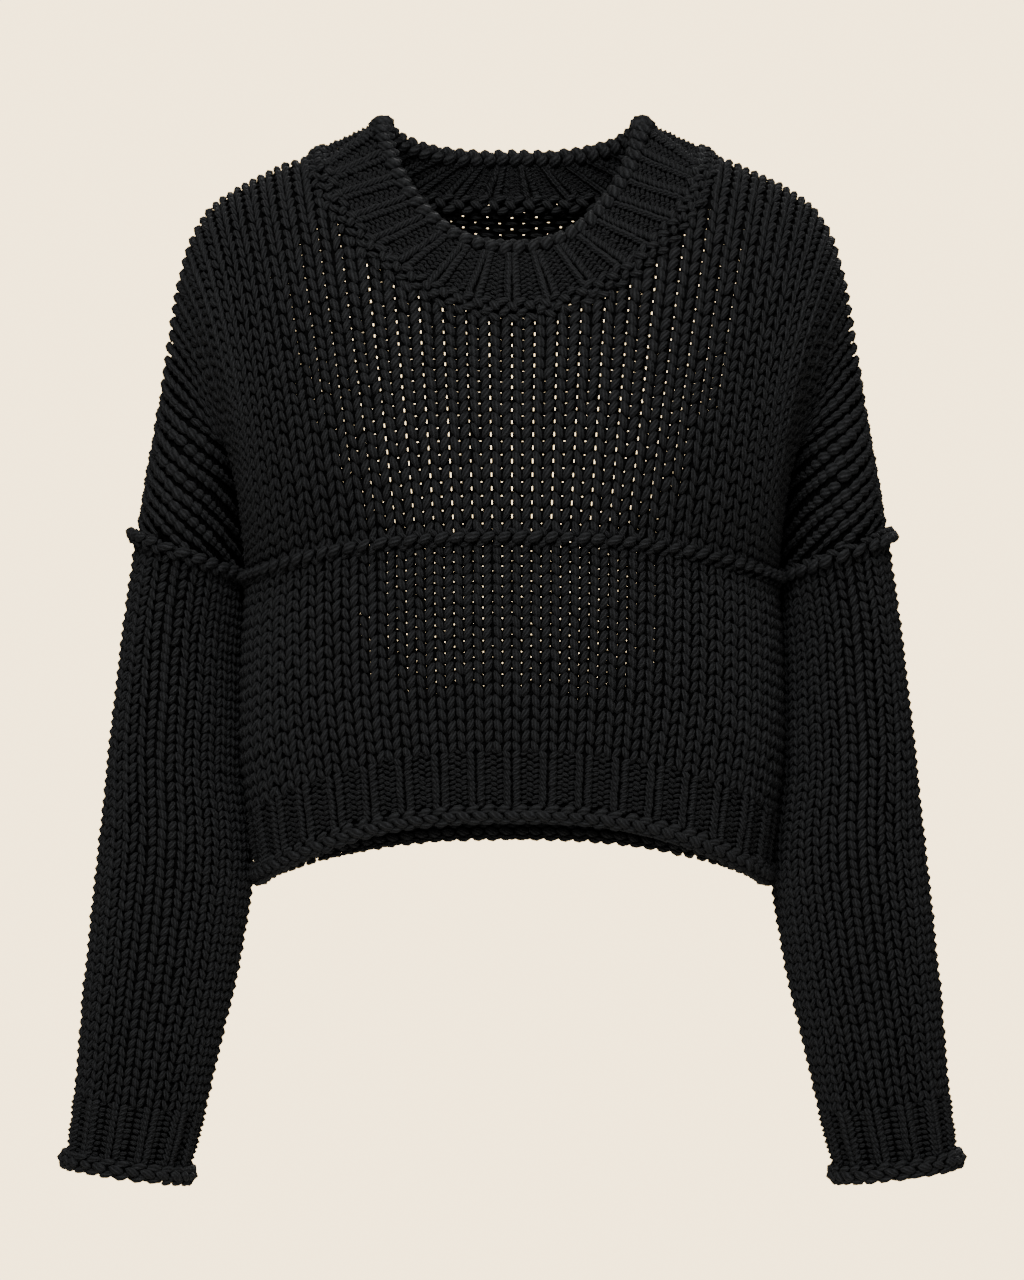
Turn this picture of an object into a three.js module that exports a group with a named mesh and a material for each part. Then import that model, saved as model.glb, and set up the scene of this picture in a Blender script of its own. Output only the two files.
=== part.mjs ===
// Cropped sweater in a bulky black knit, filled out as if worn, with nobody in it.
// Millimetres, +Z up. The front faces -Y and the wearer's left is at +X.
// The origin lies between the shoulders at the base of the neck, where a wearer's neck holds it up.
import * as THREE from 'three';

// ---------------------------------------------------------------- driving sizes

const WALL = 6; // thickness of the bulky knit
const SEAM_GAP = 0.3; // left between pieces that are sewn together
const CHAIN_GAP = 3 * SEAM_GAP; // under the neckband's two chains, where the cloth turns tightest
const SECTION_POWER = 2.3; // squareness of the body's plan outline, where 2 is an ellipse
const ARCH_POWER = 2.5; // how late the chest seam and the hem drop towards the sides

const CHEST_WALES = 19; // columns of stitches from centre to side along the chest seam
const NECK_WALES = 7.5; // columns that end at the neckline, from centre to shoulder
const ARM_WALES = 28; // columns from centre to the end of the dropped shoulder
const SIDE = Math.PI / 2; // angle round the body from centre front to the side
const ANGLE_STEP = 0.02; // for directions along and across the cloth, in radians or rings
const WALE_STEP = 0.01; // the same across the yoke's columns and down them
const SHARE_STEP = 0.05; // the same down a yoke column, as a share of it

const NECK_CENTRE_Z = 8; // height at which the neckline is widest
const NECK_DROP = { front: 102, back: 27 }; // neckline below its widest height
const NECK_POWER = { across: 2, down: 1.65 }; // neckline round below, slanting off the shoulders

const HEM_EDGE_RADIUS = 5; // rolled cast-off edge of the hem
const CUFF_EDGE_RADIUS = 5.2; // rolled cast-off edge of each cuff
const CUFF_EDGE_FLARE = 2.6; // the cuff's edge stands out beyond the rib
const NECK_EDGE_RADIUS = 4.6; // chain along the neckband's free edge
const NECK_RIDGE_RADIUS = 3.2; // chain over the neckband's seam
const SEAM_RIDGE_RADIUS = 2.7; // chains over the chest and sleeve seams
const RIDGE_DROP = 3; // those chains lie on the piece below the seam, clear of the yoke's swell

const COLOURS = {
  knit: 0x151515,
  rib: 0x131313,
  edge: 0x171717,
};
const ROUGHNESS = 0.95;

// Facets
const BODY_ROWS = 4;
const YOKE_ROWS = 9;
const SLEEVE_ROWS = 7;
const RIB_ROWS = 2;
const BAND_ROWS = 2;
const ROLL_SIDES = 6;
const RIDGE_SIDES = 5;

// ---------------------------------------------------------------- section tables

// Body below the chest seam. sideZ is the height at the side, and the rises are how much
// higher the same level runs at centre front and centre back.
const BODY = [
  { level: 0, sideZ: -253, halfWidth: 162.5, frontDepth: 112, backDepth: 106, frontRise: 24, backRise: 28 },
  { level: 1, sideZ: -300, halfWidth: 165.5, frontDepth: 115, backDepth: 109, frontRise: 30, backRise: 30 },
  { level: 2, sideZ: -350, halfWidth: 166.5, frontDepth: 116, backDepth: 110, frontRise: 35, backRise: 30 },
  { level: 3, sideZ: -400, halfWidth: 162, frontDepth: 114, backDepth: 108, frontRise: 39, backRise: 26 },
  { level: 4, sideZ: -434, halfWidth: 155, frontDepth: 111, backDepth: 105, frontRise: 40, backRise: 23 },
];
const RIB_LEVEL = 3;
const HEM_LEVEL = 4;

// Yoke, a row for each column of stitches that sets its form. top is its place on the
// shoulder line and then on the outer arm, and ridgeY how far back that line lies there.
// The depths are how far the cloth stands out in front of and behind that line: least in the
// fold above each armpit. bow pulls the column in towards the body on its way down, and a
// swell over 1 lets the cloth slope away from the shoulder before it stands out.
const YOKE = [
  { wale: 0, topX: 0, topZ: 21, ridgeY: 0, front: 112, back: 106, bow: 0, swell: 1.35, skew: 0 },
  { wale: 4, topX: 64, topZ: 20, ridgeY: 0, front: 112, back: 106, bow: 0, swell: 1.35, skew: 0 },
  { wale: 7.5, topX: 121, topZ: 8, ridgeY: 0, front: 110, back: 104, bow: 2, swell: 1.35, skew: 0 },
  { wale: 11, topX: 160, topZ: -8, ridgeY: 0, front: 105, back: 100, bow: 5, swell: 1.3, skew: 0 },
  { wale: 14, topX: 187, topZ: -26, ridgeY: 0, front: 95, back: 92, bow: 12, swell: 1.2, skew: 0 },
  { wale: 16, topX: 199.5, topZ: -49, ridgeY: 0, front: 84, back: 84, bow: 18, swell: 1.12, skew: 0 },
  { wale: 18, topX: 206.5, topZ: -77, ridgeY: 0, front: 60, back: 66, bow: 22, swell: 1.04, skew: 0 },
  { wale: 19, topX: 209, topZ: -91, ridgeY: 0, front: 48, back: 56, bow: 21, swell: 1, skew: 0 },
  { wale: 21, topX: 213.5, topZ: -120, ridgeY: 3, front: 38, back: 48, bow: 14, swell: 1, skew: 0.04 },
  { wale: 23.5, topX: 219, topZ: -158, ridgeY: 11, front: 46, back: 54, bow: 4, swell: 1, skew: 0.08 },
  { wale: 26, topX: 225.5, topZ: -197, ridgeY: 19, front: 58, back: 60, bow: 0, swell: 1, skew: 0.11 },
  { wale: 28, topX: 230.5, topZ: -226, ridgeY: 24, front: 62, back: 62, bow: 0, swell: 1, skew: 0.12 },
];
const BOW_LIFT = 0.9; // a bowed column also rises, by this share of its bow

// Underarm seam, from the body's side up to the armpit and down to the sleeve
const UNDERARM = [
  { wale: 19, x: 162.5, z: -253 },
  { wale: 20.5, x: 162.5, z: -220 },
  { wale: 22, x: 164, z: -191 },
  { wale: 23.5, x: 169.5, z: -176 },
  { wale: 25, x: 175, z: -190 },
  { wale: 26.5, x: 176.5, z: -220 },
  { wale: 28, x: 176, z: -253 },
];

// Left sleeve, a row for each ring. outer and inner are its ends in front view, centreY and
// depth (half of it) place it from front to back, and skew slides its back in to the body.
const SLEEVE = [
  { ring: 0, outerX: 230.5, outerZ: -226, innerX: 176, innerZ: -253, centreY: 24, depth: 62, skew: 0.12 },
  { ring: 1, outerX: 238.5, outerZ: -290, innerX: 174.5, innerZ: -313, centreY: 24, depth: 60, skew: 0.2 },
  { ring: 2, outerX: 246, outerZ: -350, innerX: 173, innerZ: -370, centreY: 22, depth: 57, skew: 0.2 },
  { ring: 3, outerX: 253.5, outerZ: -410, innerX: 169.5, innerZ: -427, centreY: 18, depth: 53, skew: 0.14 },
  { ring: 4, outerX: 261, outerZ: -475, innerX: 171.5, innerZ: -489, centreY: 12, depth: 49, skew: 0.08 },
  { ring: 5, outerX: 266.5, outerZ: -530, innerX: 182, innerZ: -542, centreY: 6, depth: 45, skew: 0.03 },
  { ring: 6, outerX: 269.5, outerZ: -577, innerX: 192.5, innerZ: -587, centreY: 1, depth: 41, skew: 0 },
  { ring: 7, outerX: 272.5, outerZ: -614, innerX: 200.5, innerZ: -623, centreY: -2, depth: 38, skew: 0 },
];
const CUFF_RING = 6;
const CUFF_END_RING = 7;

// Neckband's free edge: half its width, and its place at centre front, shoulder and centre back
const NECK_EDGE = {
  halfWidth: 84,
  front: { y: -71, z: -57 },
  side: { y: 2, z: 23 },
  back: { y: 43, z: 4 },
};
const NECK_EDGE_POWER = 2.2; // roundness of the free edge in plan
const NECK_EDGE_FALL = 1.4; // how late the free edge drops from the shoulder

// Columns at which the yoke, the panels and the neckband are all cut, so that their seams match
const NECK_STEPS = 7;
const NECK_SPREAD = 3; // crowds the columns towards the shoulder, where the neckline turns
const NECK_COLUMNS = Array.from({ length: NECK_STEPS + 1 }, (_, step) =>
  NECK_WALES * (1 - (1 - step / NECK_STEPS) ** NECK_SPREAD));
const CHEST_COLUMNS = [...NECK_COLUMNS, 9, 11, 13, 15, 17, CHEST_WALES];
const YOKE_COLUMNS = [...CHEST_COLUMNS, 20.5, 22, 23.5, 25, 26.5, ARM_WALES];

// ---------------------------------------------------------------- small helpers

const signedPower = (value, power) => Math.sign(value) * Math.abs(value) ** power;
const range = (count) => Array.from({ length: count }, (_, index) => index);
const bothHalves = (columns) => [...columns.slice(1).reverse().map((wale) => -wale), ...columns];

// Shape-preserving cubic through one column of a table
function tableValue(rows, key, column, at) {
  const last = rows.length - 1;
  const wanted = THREE.MathUtils.clamp(at, rows[0][key], rows[last][key]);
  let index = 0;
  while (index < last - 1 && rows[index + 1][key] < wanted) index += 1;
  const gap = (i) => rows[i + 1][key] - rows[i][key];
  const rate = (i) => (rows[i + 1][column] - rows[i][column]) / gap(i);
  const slope = (i) => {
    if (i === 0) return rate(0);
    if (i === last) return rate(last - 1);
    const product = rate(i - 1) * rate(i);
    return product <= 0 ? 0 : (2 * product) / (rate(i - 1) + rate(i));
  };
  const t = (wanted - rows[index][key]) / gap(index);
  const start = rows[index][column] + slope(index) * gap(index) * t * (1 - t) ** 2;
  const blend = t * t * (3 - 2 * t) * (rows[index + 1][column] - rows[index][column]);
  return start + blend - slope(index + 1) * gap(index) * t * t * (1 - t);
}

// ---------------------------------------------------------------- the body below the chest seam

function bodyPoint(level, angle) {
  const value = (column) => tableValue(BODY, 'level', column, level);
  const facing = Math.cos(angle) >= 0 ? 'front' : 'back';
  const halfWidth = value('halfWidth');
  const x = halfWidth * signedPower(Math.sin(angle), 2 / SECTION_POWER);
  const y = -value(`${facing}Depth`) * signedPower(Math.cos(angle), 2 / SECTION_POWER);
  const drop = Math.abs(x / halfWidth) ** ARCH_POWER;
  return new THREE.Vector3(x, y, value('sideZ') + value(`${facing}Rise`) * (1 - drop));
}

// Level outward direction of the chest seam, shared by the yoke and the panels that meet there
function chestSeamNormal(angle) {
  const along = bodyPoint(0, angle + ANGLE_STEP).sub(bodyPoint(0, angle - ANGLE_STEP))
    .setZ(0).normalize();
  return new THREE.Vector3(along.y, -along.x, 0);
}

// Angles at which the stitch columns cross the chest seam, evenly spaced along the cloth
const ARC_STEPS = 240;
const seamArcs = Object.fromEntries(['front', 'back'].map((facing) => {
  const middle = facing === 'front' ? 0 : Math.PI;
  const sense = facing === 'front' ? 1 : -1;
  const angleAt = (step) => middle + (sense * SIDE * step) / ARC_STEPS;
  const lengths = [0];
  for (let step = 1; step <= ARC_STEPS; step += 1) {
    const stretch = bodyPoint(0, angleAt(step)).distanceTo(bodyPoint(0, angleAt(step - 1)));
    lengths.push(lengths[step - 1] + stretch);
  }
  return [facing, { angleAt, lengths }];
}));

function waleAngle(wale, facing) {
  const { angleAt, lengths } = seamArcs[facing];
  const wanted = (Math.min(Math.abs(wale), CHEST_WALES) / CHEST_WALES) * lengths[ARC_STEPS];
  let step = 1;
  while (step < ARC_STEPS && lengths[step] < wanted) step += 1;
  const share = (wanted - lengths[step - 1]) / (lengths[step] - lengths[step - 1]);
  const angle = angleAt(step - 1 + share);
  return wale < 0 ? -angle : angle;
}

// ---------------------------------------------------------------- the yoke and dropped shoulders

// One column of stitches on the left half: turn runs from 0 on the shoulder line to endTurn
// at the chest seam or the underarm seam
function yokeColumn(wale, facing) {
  const value = (column) => tableValue(YOKE, 'wale', column, wale);
  const depth = value(facing);
  const swell = value('swell');
  const column = {
    facing,
    top: new THREE.Vector2(value('topX'), value('topZ')),
    ridgeY: value('ridgeY'),
    skew: value('skew'),
    depth,
    swell,
    endTurn: Math.PI,
  };
  if (wale <= CHEST_WALES) {
    const seam = bodyPoint(0, waleAngle(wale, facing));
    column.bottom = new THREE.Vector2(seam.x, seam.z);
    column.endTurn = Math.PI - Math.asin(Math.min(1, Math.abs(seam.y) / depth) ** (1 / swell));
  } else {
    column.bottom = new THREE.Vector2(
      tableValue(UNDERARM, 'wale', 'x', wale), tableValue(UNDERARM, 'wale', 'z', wale));
  }
  const bow = value('bow');
  column.middle = column.top.clone().add(column.bottom).multiplyScalar(0.5)
    .add(new THREE.Vector2(-bow, bow * BOW_LIFT));
  return column;
}

function columnPoint(column, turn) {
  const { top, middle, bottom, depth, swell, ridgeY, skew, facing, endTurn } = column;
  const t = (1 - Math.cos(turn)) / (1 - Math.cos(endTurn));
  const flat = top.clone().multiplyScalar((1 - t) ** 2)
    .addScaledVector(middle, 2 * t * (1 - t)).addScaledVector(bottom, t * t);
  const reach = (facing === 'front' ? -1 : 1) * depth * signedPower(Math.sin(turn), swell);
  const inward = bottom.clone().sub(top).normalize();
  flat.addScaledVector(inward, skew * reach);
  return new THREE.Vector3(flat.x, ridgeY + reach, flat.y);
}

// Where the neckline cuts a column: on one rounded outline in front view
const NECK_HALVINGS = 30;
const neckTurns = new Map();
function neckTurn(wale, facing) {
  if (wale >= NECK_WALES) return 0;
  const key = `${facing}${wale}`;
  if (neckTurns.has(key)) return neckTurns.get(key);
  const column = yokeColumn(wale, facing);
  let inside = 0;
  let outside = column.endTurn;
  for (let halving = 0; halving < NECK_HALVINGS; halving += 1) {
    const middle = (inside + outside) / 2;
    const point = columnPoint(column, middle);
    const across = Math.abs(point.x / tableValue(YOKE, 'wale', 'topX', NECK_WALES)) ** NECK_POWER.across;
    const down = Math.max(0, (NECK_CENTRE_Z - point.z) / NECK_DROP[facing]) ** NECK_POWER.down;
    if (across + down < 1) inside = middle;
    else outside = middle;
  }
  neckTurns.set(key, inside);
  return inside;
}

function yokePoint(wale, share, facing) {
  const column = yokeColumn(Math.abs(wale), facing);
  const start = neckTurn(Math.abs(wale), facing);
  const point = columnPoint(column, start + (column.endTurn - start) * share);
  if (wale < 0) point.x *= -1;
  return point;
}

// Outward direction of the yoke from its slopes across and down the cloth
function yokeNormal(wale, share, facing) {
  const magnitude = Math.abs(wale);
  const column = yokeColumn(magnitude, facing);
  const start = neckTurn(magnitude, facing);
  const turn = start + (column.endTurn - start) * share;
  const low = Math.max(0, magnitude - WALE_STEP);
  const high = Math.min(ARM_WALES, magnitude + WALE_STEP);
  const across = columnPoint(yokeColumn(high, facing), turn)
    .sub(columnPoint(yokeColumn(low, facing), turn));
  if (magnitude < WALE_STEP) across.set(1, 0, 0);
  const down = columnPoint(column, turn + WALE_STEP).sub(columnPoint(column, turn - WALE_STEP));
  const normal = across.cross(down).normalize();
  if (facing === 'back') normal.negate();
  if (wale < 0) normal.x *= -1;
  return normal.negate();
}

// ---------------------------------------------------------------- the sleeves

// Ring of the left sleeve: angle 0 is the outer arm, and the front is at negative angles
function sleevePoint(ring, angle) {
  const value = (column) => tableValue(SLEEVE, 'ring', column, ring);
  const outer = new THREE.Vector2(value('outerX'), value('outerZ'));
  const inner = new THREE.Vector2(value('innerX'), value('innerZ'));
  const inward = inner.clone().sub(outer).normalize();
  const reach = value('depth') * Math.sin(angle);
  const flat = outer.lerp(inner, (1 - Math.cos(angle)) / 2).addScaledVector(inward, value('skew') * reach);
  return new THREE.Vector3(flat.x, value('centreY') + reach, flat.y);
}

function sleeveAxis(ring) {
  const value = (column) => tableValue(SLEEVE, 'ring', column, ring);
  const across = value('outerX') - value('innerX');
  return new THREE.Vector3(value('innerZ') - value('outerZ'), 0, across).normalize();
}

// Outward direction within the ring's own plane, shared by the pieces that meet on the ring
function ringNormal(ring, angle) {
  const along = sleevePoint(ring, angle + ANGLE_STEP).sub(sleevePoint(ring, angle - ANGLE_STEP));
  return along.cross(sleeveAxis(ring)).normalize();
}

function sleeveNormal(ring, angle) {
  const around = sleevePoint(ring, angle + ANGLE_STEP).sub(sleevePoint(ring, angle - ANGLE_STEP));
  const down = sleevePoint(ring + ANGLE_STEP, angle).sub(sleevePoint(ring - ANGLE_STEP, angle));
  return down.cross(around).normalize();
}

// ---------------------------------------------------------------- the neckband

// Seam and free edge at one column of the neckline
function neckSeamPoint(wale, facing) {
  return yokePoint(wale, 0, facing);
}

function neckEdgePoint(wale, facing) {
  const share = 1 - (1 - Math.abs(wale) / NECK_WALES) ** (1 / NECK_SPREAD);
  const angle = Math.sign(wale) * SIDE * share;
  const { halfWidth, side } = NECK_EDGE;
  const middle = NECK_EDGE[facing];
  const towardsMiddle = Math.abs(Math.cos(angle)) ** (2 / NECK_EDGE_POWER);
  return new THREE.Vector3(
    halfWidth * signedPower(Math.sin(angle), 2 / NECK_EDGE_POWER),
    side.y + (middle.y - side.y) * towardsMiddle,
    side.z + (middle.z - side.z) * towardsMiddle ** NECK_EDGE_FALL,
  );
}

// The columns round the neck, once round from centre front over the left shoulder
function neckRound() {
  const front = NECK_COLUMNS.map((wale) => ({ wale, facing: 'front' }));
  const back = NECK_COLUMNS.slice(0, -1).reverse().map((wale) => ({ wale, facing: 'back' }));
  const rightBack = NECK_COLUMNS.slice(1).map((wale) => ({ wale: -wale, facing: 'back' }));
  const rightFront = NECK_COLUMNS.slice(1, -1).reverse().map((wale) => ({ wale: -wale, facing: 'front' }));
  return [...front, ...back, ...rightBack, ...rightFront];
}

function bandNormal(index) {
  const round = neckRound();
  const place = (offset) => round[(index + offset + round.length) % round.length];
  const here = place(0);
  const seam = neckSeamPoint(here.wale, here.facing);
  const along = neckSeamPoint(place(1).wale, place(1).facing)
    .sub(neckSeamPoint(place(-1).wale, place(-1).facing));
  const up = neckEdgePoint(here.wale, here.facing).sub(seam);
  return along.cross(up).normalize();
}

// Direction at the neck seam halfway between the yoke's and the band's
function neckSeamNormal(index) {
  const { wale, facing } = neckRound()[index];
  const yokeOut = yokeNormal(wale, 0, facing);
  return Math.abs(wale) === NECK_WALES ? yokeOut : bandNormal(index).add(yokeOut).normalize();
}

// Direction across the neck seam, away from the neck
function awayFromNeck(wale, facing, normal) {
  const point = yokePoint(wale, 0, facing);
  if (Math.abs(wale) === NECK_WALES) {
    return yokePoint(wale + Math.sign(wale) * WALE_STEP, 0, facing).sub(point).normalize();
  }
  const along = yokePoint(wale + WALE_STEP, 0, facing)
    .sub(yokePoint(wale - WALE_STEP, 0, facing));
  const across = along.cross(normal).normalize();
  const below = yokePoint(wale, SHARE_STEP, facing).sub(point);
  return across.multiplyScalar(Math.sign(across.dot(below)));
}

// ---------------------------------------------------------------- solids

function orientedGeometry(positions, triangles) {
  const corner = (index) => new THREE.Vector3().fromArray(positions, index * 3);
  const volume = triangles.reduce((sum, [a, b, c]) => sum + corner(a).dot(corner(b).cross(corner(c))), 0);
  const indices = triangles.flatMap(([a, b, c]) => (volume < 0 ? [a, c, b] : [a, b, c]));
  const geometry = new THREE.BufferGeometry();
  geometry.setAttribute('position', new THREE.Float32BufferAttribute(positions, 3));
  geometry.setIndex(indices);
  geometry.computeVertexNormals();
  return geometry;
}

// Closed wall of even thickness about a grid of points, with an outward direction at each.
// A ring wall closes on itself across its columns.
function wallGeometry(points, normals, isRing) {
  const across = points.length;
  const along = points[0].length;
  const positions = [];
  [WALL / 2, -WALL / 2].forEach((offset) => points.forEach((column, i) => column.forEach((point, j) => {
    positions.push(...point.clone().addScaledVector(normals[i][j], offset).toArray());
  })));
  const at = (layer, i, j) => (layer * across + (i % across)) * along + j;
  const triangles = [];
  const quad = (a, b, c, d) => triangles.push([a, b, c], [a, c, d]);
  const spans = isRing ? across : across - 1;
  for (let i = 0; i < spans; i += 1) {
    for (let j = 0; j < along - 1; j += 1) {
      quad(at(0, i, j), at(0, i + 1, j), at(0, i + 1, j + 1), at(0, i, j + 1));
      quad(at(1, i, j), at(1, i, j + 1), at(1, i + 1, j + 1), at(1, i + 1, j));
    }
    quad(at(0, i, 0), at(1, i, 0), at(1, i + 1, 0), at(0, i + 1, 0));
    quad(at(0, i, along - 1), at(0, i + 1, along - 1), at(1, i + 1, along - 1), at(1, i, along - 1));
  }
  if (!isRing) {
    for (let j = 0; j < along - 1; j += 1) {
      quad(at(0, 0, j), at(0, 0, j + 1), at(1, 0, j + 1), at(1, 0, j));
      quad(at(0, spans, j), at(1, spans, j), at(1, spans, j + 1), at(0, spans, j + 1));
    }
  }
  return orientedGeometry(positions, triangles);
}

// Round cord through a row of places, each with a centre and the direction that is outward
// there. A place may also give its own direction along the cord.
function cordGeometry(places, radius, sides, isRing) {
  const count = places.length;
  const positions = [];
  places.forEach(({ centre, out: outward, along: ownAlong }, index) => {
    const before = places[isRing ? (index + count - 1) % count : Math.max(0, index - 1)].centre;
    const after = places[isRing ? (index + 1) % count : Math.min(count - 1, index + 1)].centre;
    const along = ownAlong ?? after.clone().sub(before).normalize();
    const across = along.clone().cross(outward).normalize();
    const out = across.clone().cross(along).normalize();
    range(sides).forEach((side) => {
      const angle = (2 * Math.PI * (side + 0.5)) / sides;
      const point = centre.clone().addScaledVector(out, -radius * Math.cos(angle))
        .addScaledVector(across, radius * Math.sin(angle));
      positions.push(...point.toArray());
    });
  });
  const at = (ring, side) => (ring % count) * sides + (side % sides);
  const triangles = [];
  for (let ring = 0; ring < (isRing ? count : count - 1); ring += 1) {
    for (let side = 0; side < sides; side += 1) {
      triangles.push([at(ring, side), at(ring + 1, side), at(ring + 1, side + 1)]);
      triangles.push([at(ring, side), at(ring + 1, side + 1), at(ring, side + 1)]);
    }
  }
  if (!isRing) {
    for (let side = 1; side < sides - 1; side += 1) {
      triangles.push([at(0, 0), at(0, side), at(0, side + 1)]);
      triangles.push([at(count - 1, 0), at(count - 1, side + 1), at(count - 1, side)]);
    }
  }
  return orientedGeometry(positions, triangles);
}

// ---------------------------------------------------------------- pieces

const sweater = new THREE.Group();

function addPiece(name, geometry, colour) {
  const material = new THREE.MeshStandardMaterial({ color: colour, roughness: ROUGHNESS, metalness: 0 });
  const mesh = new THREE.Mesh(geometry, material);
  mesh.name = name;
  sweater.add(mesh);
}

const mirrored = (vector) => new THREE.Vector3(-vector.x, vector.y, vector.z);
const HALF_GAP = SEAM_GAP / 2;

// Front or back of the yoke. Each edge is drawn back by half of the seam's gap.
function addYoke(facing) {
  const outward = facing === 'front' ? -1 : 1;
  const round = neckRound();
  const shoulderAxis = sleeveAxis(0);
  const points = [];
  const normals = [];
  bothHalves(YOKE_COLUMNS).forEach((wale) => {
    const magnitude = Math.abs(wale);
    const columnPoints = [];
    const columnNormals = [];
    range(YOKE_ROWS + 1).forEach((row) => {
      const share = row / YOKE_ROWS;
      const point = yokePoint(wale, share, facing);
      const normal = yokeNormal(wale, share, facing);
      if (row === 0 && magnitude <= NECK_WALES) {
        const index = round.findIndex((place) => place.wale === wale && place.facing === facing);
        if (index >= 0) normal.copy(neckSeamNormal(index));
        point.addScaledVector(awayFromNeck(wale, facing, normal), HALF_GAP);
      }
      if (row === 0 && magnitude >= NECK_WALES) point.y += outward * HALF_GAP;
      if (row === YOKE_ROWS && magnitude <= CHEST_WALES) {
        normal.copy(chestSeamNormal(waleAngle(wale, facing)));
        point.z += HALF_GAP;
      }
      if (row === YOKE_ROWS && magnitude >= CHEST_WALES) point.y += outward * HALF_GAP;
      if (magnitude === ARM_WALES) {
        const angle = outward * Math.PI * share;
        const ringOut = ringNormal(0, angle);
        normal.copy(wale > 0 ? ringOut : mirrored(ringOut));
        point.addScaledVector(wale > 0 ? shoulderAxis : mirrored(shoulderAxis), HALF_GAP);
      }
      columnPoints.push(point);
      columnNormals.push(normal);
    });
    points.push(columnPoints);
    normals.push(columnNormals);
  });
  addPiece(`${facing}_yoke`, wallGeometry(points, normals, false), COLOURS.knit);
}

// A stretch of the body's front or back between two levels
function addBodyWall(name, facing, topLevel, bottomLevel, rows, colour) {
  const outward = facing === 'front' ? -1 : 1;
  const points = [];
  const normals = [];
  bothHalves(CHEST_COLUMNS).forEach((wale) => {
    const angle = waleAngle(wale, facing);
    const columnPoints = [];
    const columnNormals = [];
    range(rows + 1).forEach((row) => {
      const level = THREE.MathUtils.lerp(topLevel, bottomLevel, row / rows);
      const point = bodyPoint(level, angle);
      const around = bodyPoint(level, angle + ANGLE_STEP).sub(bodyPoint(level, angle - ANGLE_STEP))
        .setZ(0).normalize();
      columnNormals.push(new THREE.Vector3(around.y, -around.x, 0));
      if (row === 0) point.z -= HALF_GAP;
      if (row === rows) point.z += HALF_GAP;
      if (Math.abs(wale) === CHEST_WALES) point.y += outward * HALF_GAP;
      columnPoints.push(point);
    });
    points.push(columnPoints);
    normals.push(columnNormals);
  });
  addPiece(name, wallGeometry(points, normals, false), colour);
}

// The rolled edge below the hem's rib
function addHemEdge(facing) {
  const outward = facing === 'front' ? -1 : 1;
  const places = bothHalves(CHEST_COLUMNS).map((wale) => {
    const angle = waleAngle(wale, facing);
    const centre = bodyPoint(HEM_LEVEL, angle);
    const along = bodyPoint(HEM_LEVEL, angle + ANGLE_STEP)
      .sub(bodyPoint(HEM_LEVEL, angle - ANGLE_STEP)).normalize();
    if (facing === 'back') along.negate();
    const level = along.clone().setZ(0).normalize();
    const out = new THREE.Vector3(level.y, -level.x, 0).multiplyScalar(-outward);
    const down = along.clone().cross(out).normalize();
    centre.addScaledVector(down, -Math.sign(down.z) * (HEM_EDGE_RADIUS + SEAM_GAP));
    if (Math.abs(wale) === CHEST_WALES) centre.y += outward * HALF_GAP;
    return { centre, out, along };
  });
  addPiece(`${facing}_hem_edge`, cordGeometry(places, HEM_EDGE_RADIUS, ROLL_SIDES, false), COLOURS.edge);
}

// The chain that lies over the chest seam, clear of the sleeves
function addChestRidge(facing, farthestWale) {
  const columns = CHEST_COLUMNS.filter((wale) => wale < farthestWale);
  const places = bothHalves([...columns, farthestWale]).map((wale) => {
    const angle = waleAngle(wale, facing);
    const out = chestSeamNormal(angle);
    const centre = bodyPoint(0, angle).addScaledVector(out, WALL / 2 + 2 * SEAM_GAP + SEAM_RIDGE_RADIUS);
    centre.z -= RIDGE_DROP;
    return { centre, out };
  });
  const chain = cordGeometry(places, SEAM_RIDGE_RADIUS, RIDGE_SIDES, false);
  addPiece(`${facing}_chest_seam`, chain, COLOURS.edge);
}

const RING_STEPS = 2 * YOKE_ROWS;
const ringAngle = (step) => (2 * Math.PI * step) / RING_STEPS;

// A stretch of one sleeve between two of its rings
function addSleeveWall(name, topRing, bottomRing, rows, side, colour) {
  const points = [];
  const normals = [];
  range(RING_STEPS).forEach((step) => {
    const angle = ringAngle(step);
    const columnPoints = [];
    const columnNormals = [];
    range(rows + 1).forEach((row) => {
      const ring = THREE.MathUtils.lerp(topRing, bottomRing, row / rows);
      const isEnd = row === 0 || row === rows;
      const point = sleevePoint(ring, angle);
      if (row === 0) point.addScaledVector(sleeveAxis(ring), -HALF_GAP);
      if (row === rows) point.addScaledVector(sleeveAxis(ring), HALF_GAP);
      const normal = isEnd ? ringNormal(ring, angle) : sleeveNormal(ring, angle);
      columnPoints.push(side > 0 ? point : mirrored(point));
      columnNormals.push(side > 0 ? normal : mirrored(normal));
    });
    points.push(columnPoints);
    normals.push(columnNormals);
  });
  addPiece(name, wallGeometry(points, normals, true), colour);
}

function addCuffEdge(name, side) {
  const place = (step) => {
    const angle = ringAngle(step);
    const out = ringNormal(CUFF_END_RING, angle);
    const centre = sleevePoint(CUFF_END_RING, angle)
      .addScaledVector(sleeveAxis(CUFF_END_RING), -(CUFF_EDGE_RADIUS + SEAM_GAP))
      .addScaledVector(out, CUFF_EDGE_FLARE);
    return { centre: side > 0 ? centre : mirrored(centre), out: side > 0 ? out : mirrored(out) };
  };
  const roll = cordGeometry(range(RING_STEPS).map(place), CUFF_EDGE_RADIUS, ROLL_SIDES, true);
  addPiece(name, roll, COLOURS.edge);
}

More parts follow.
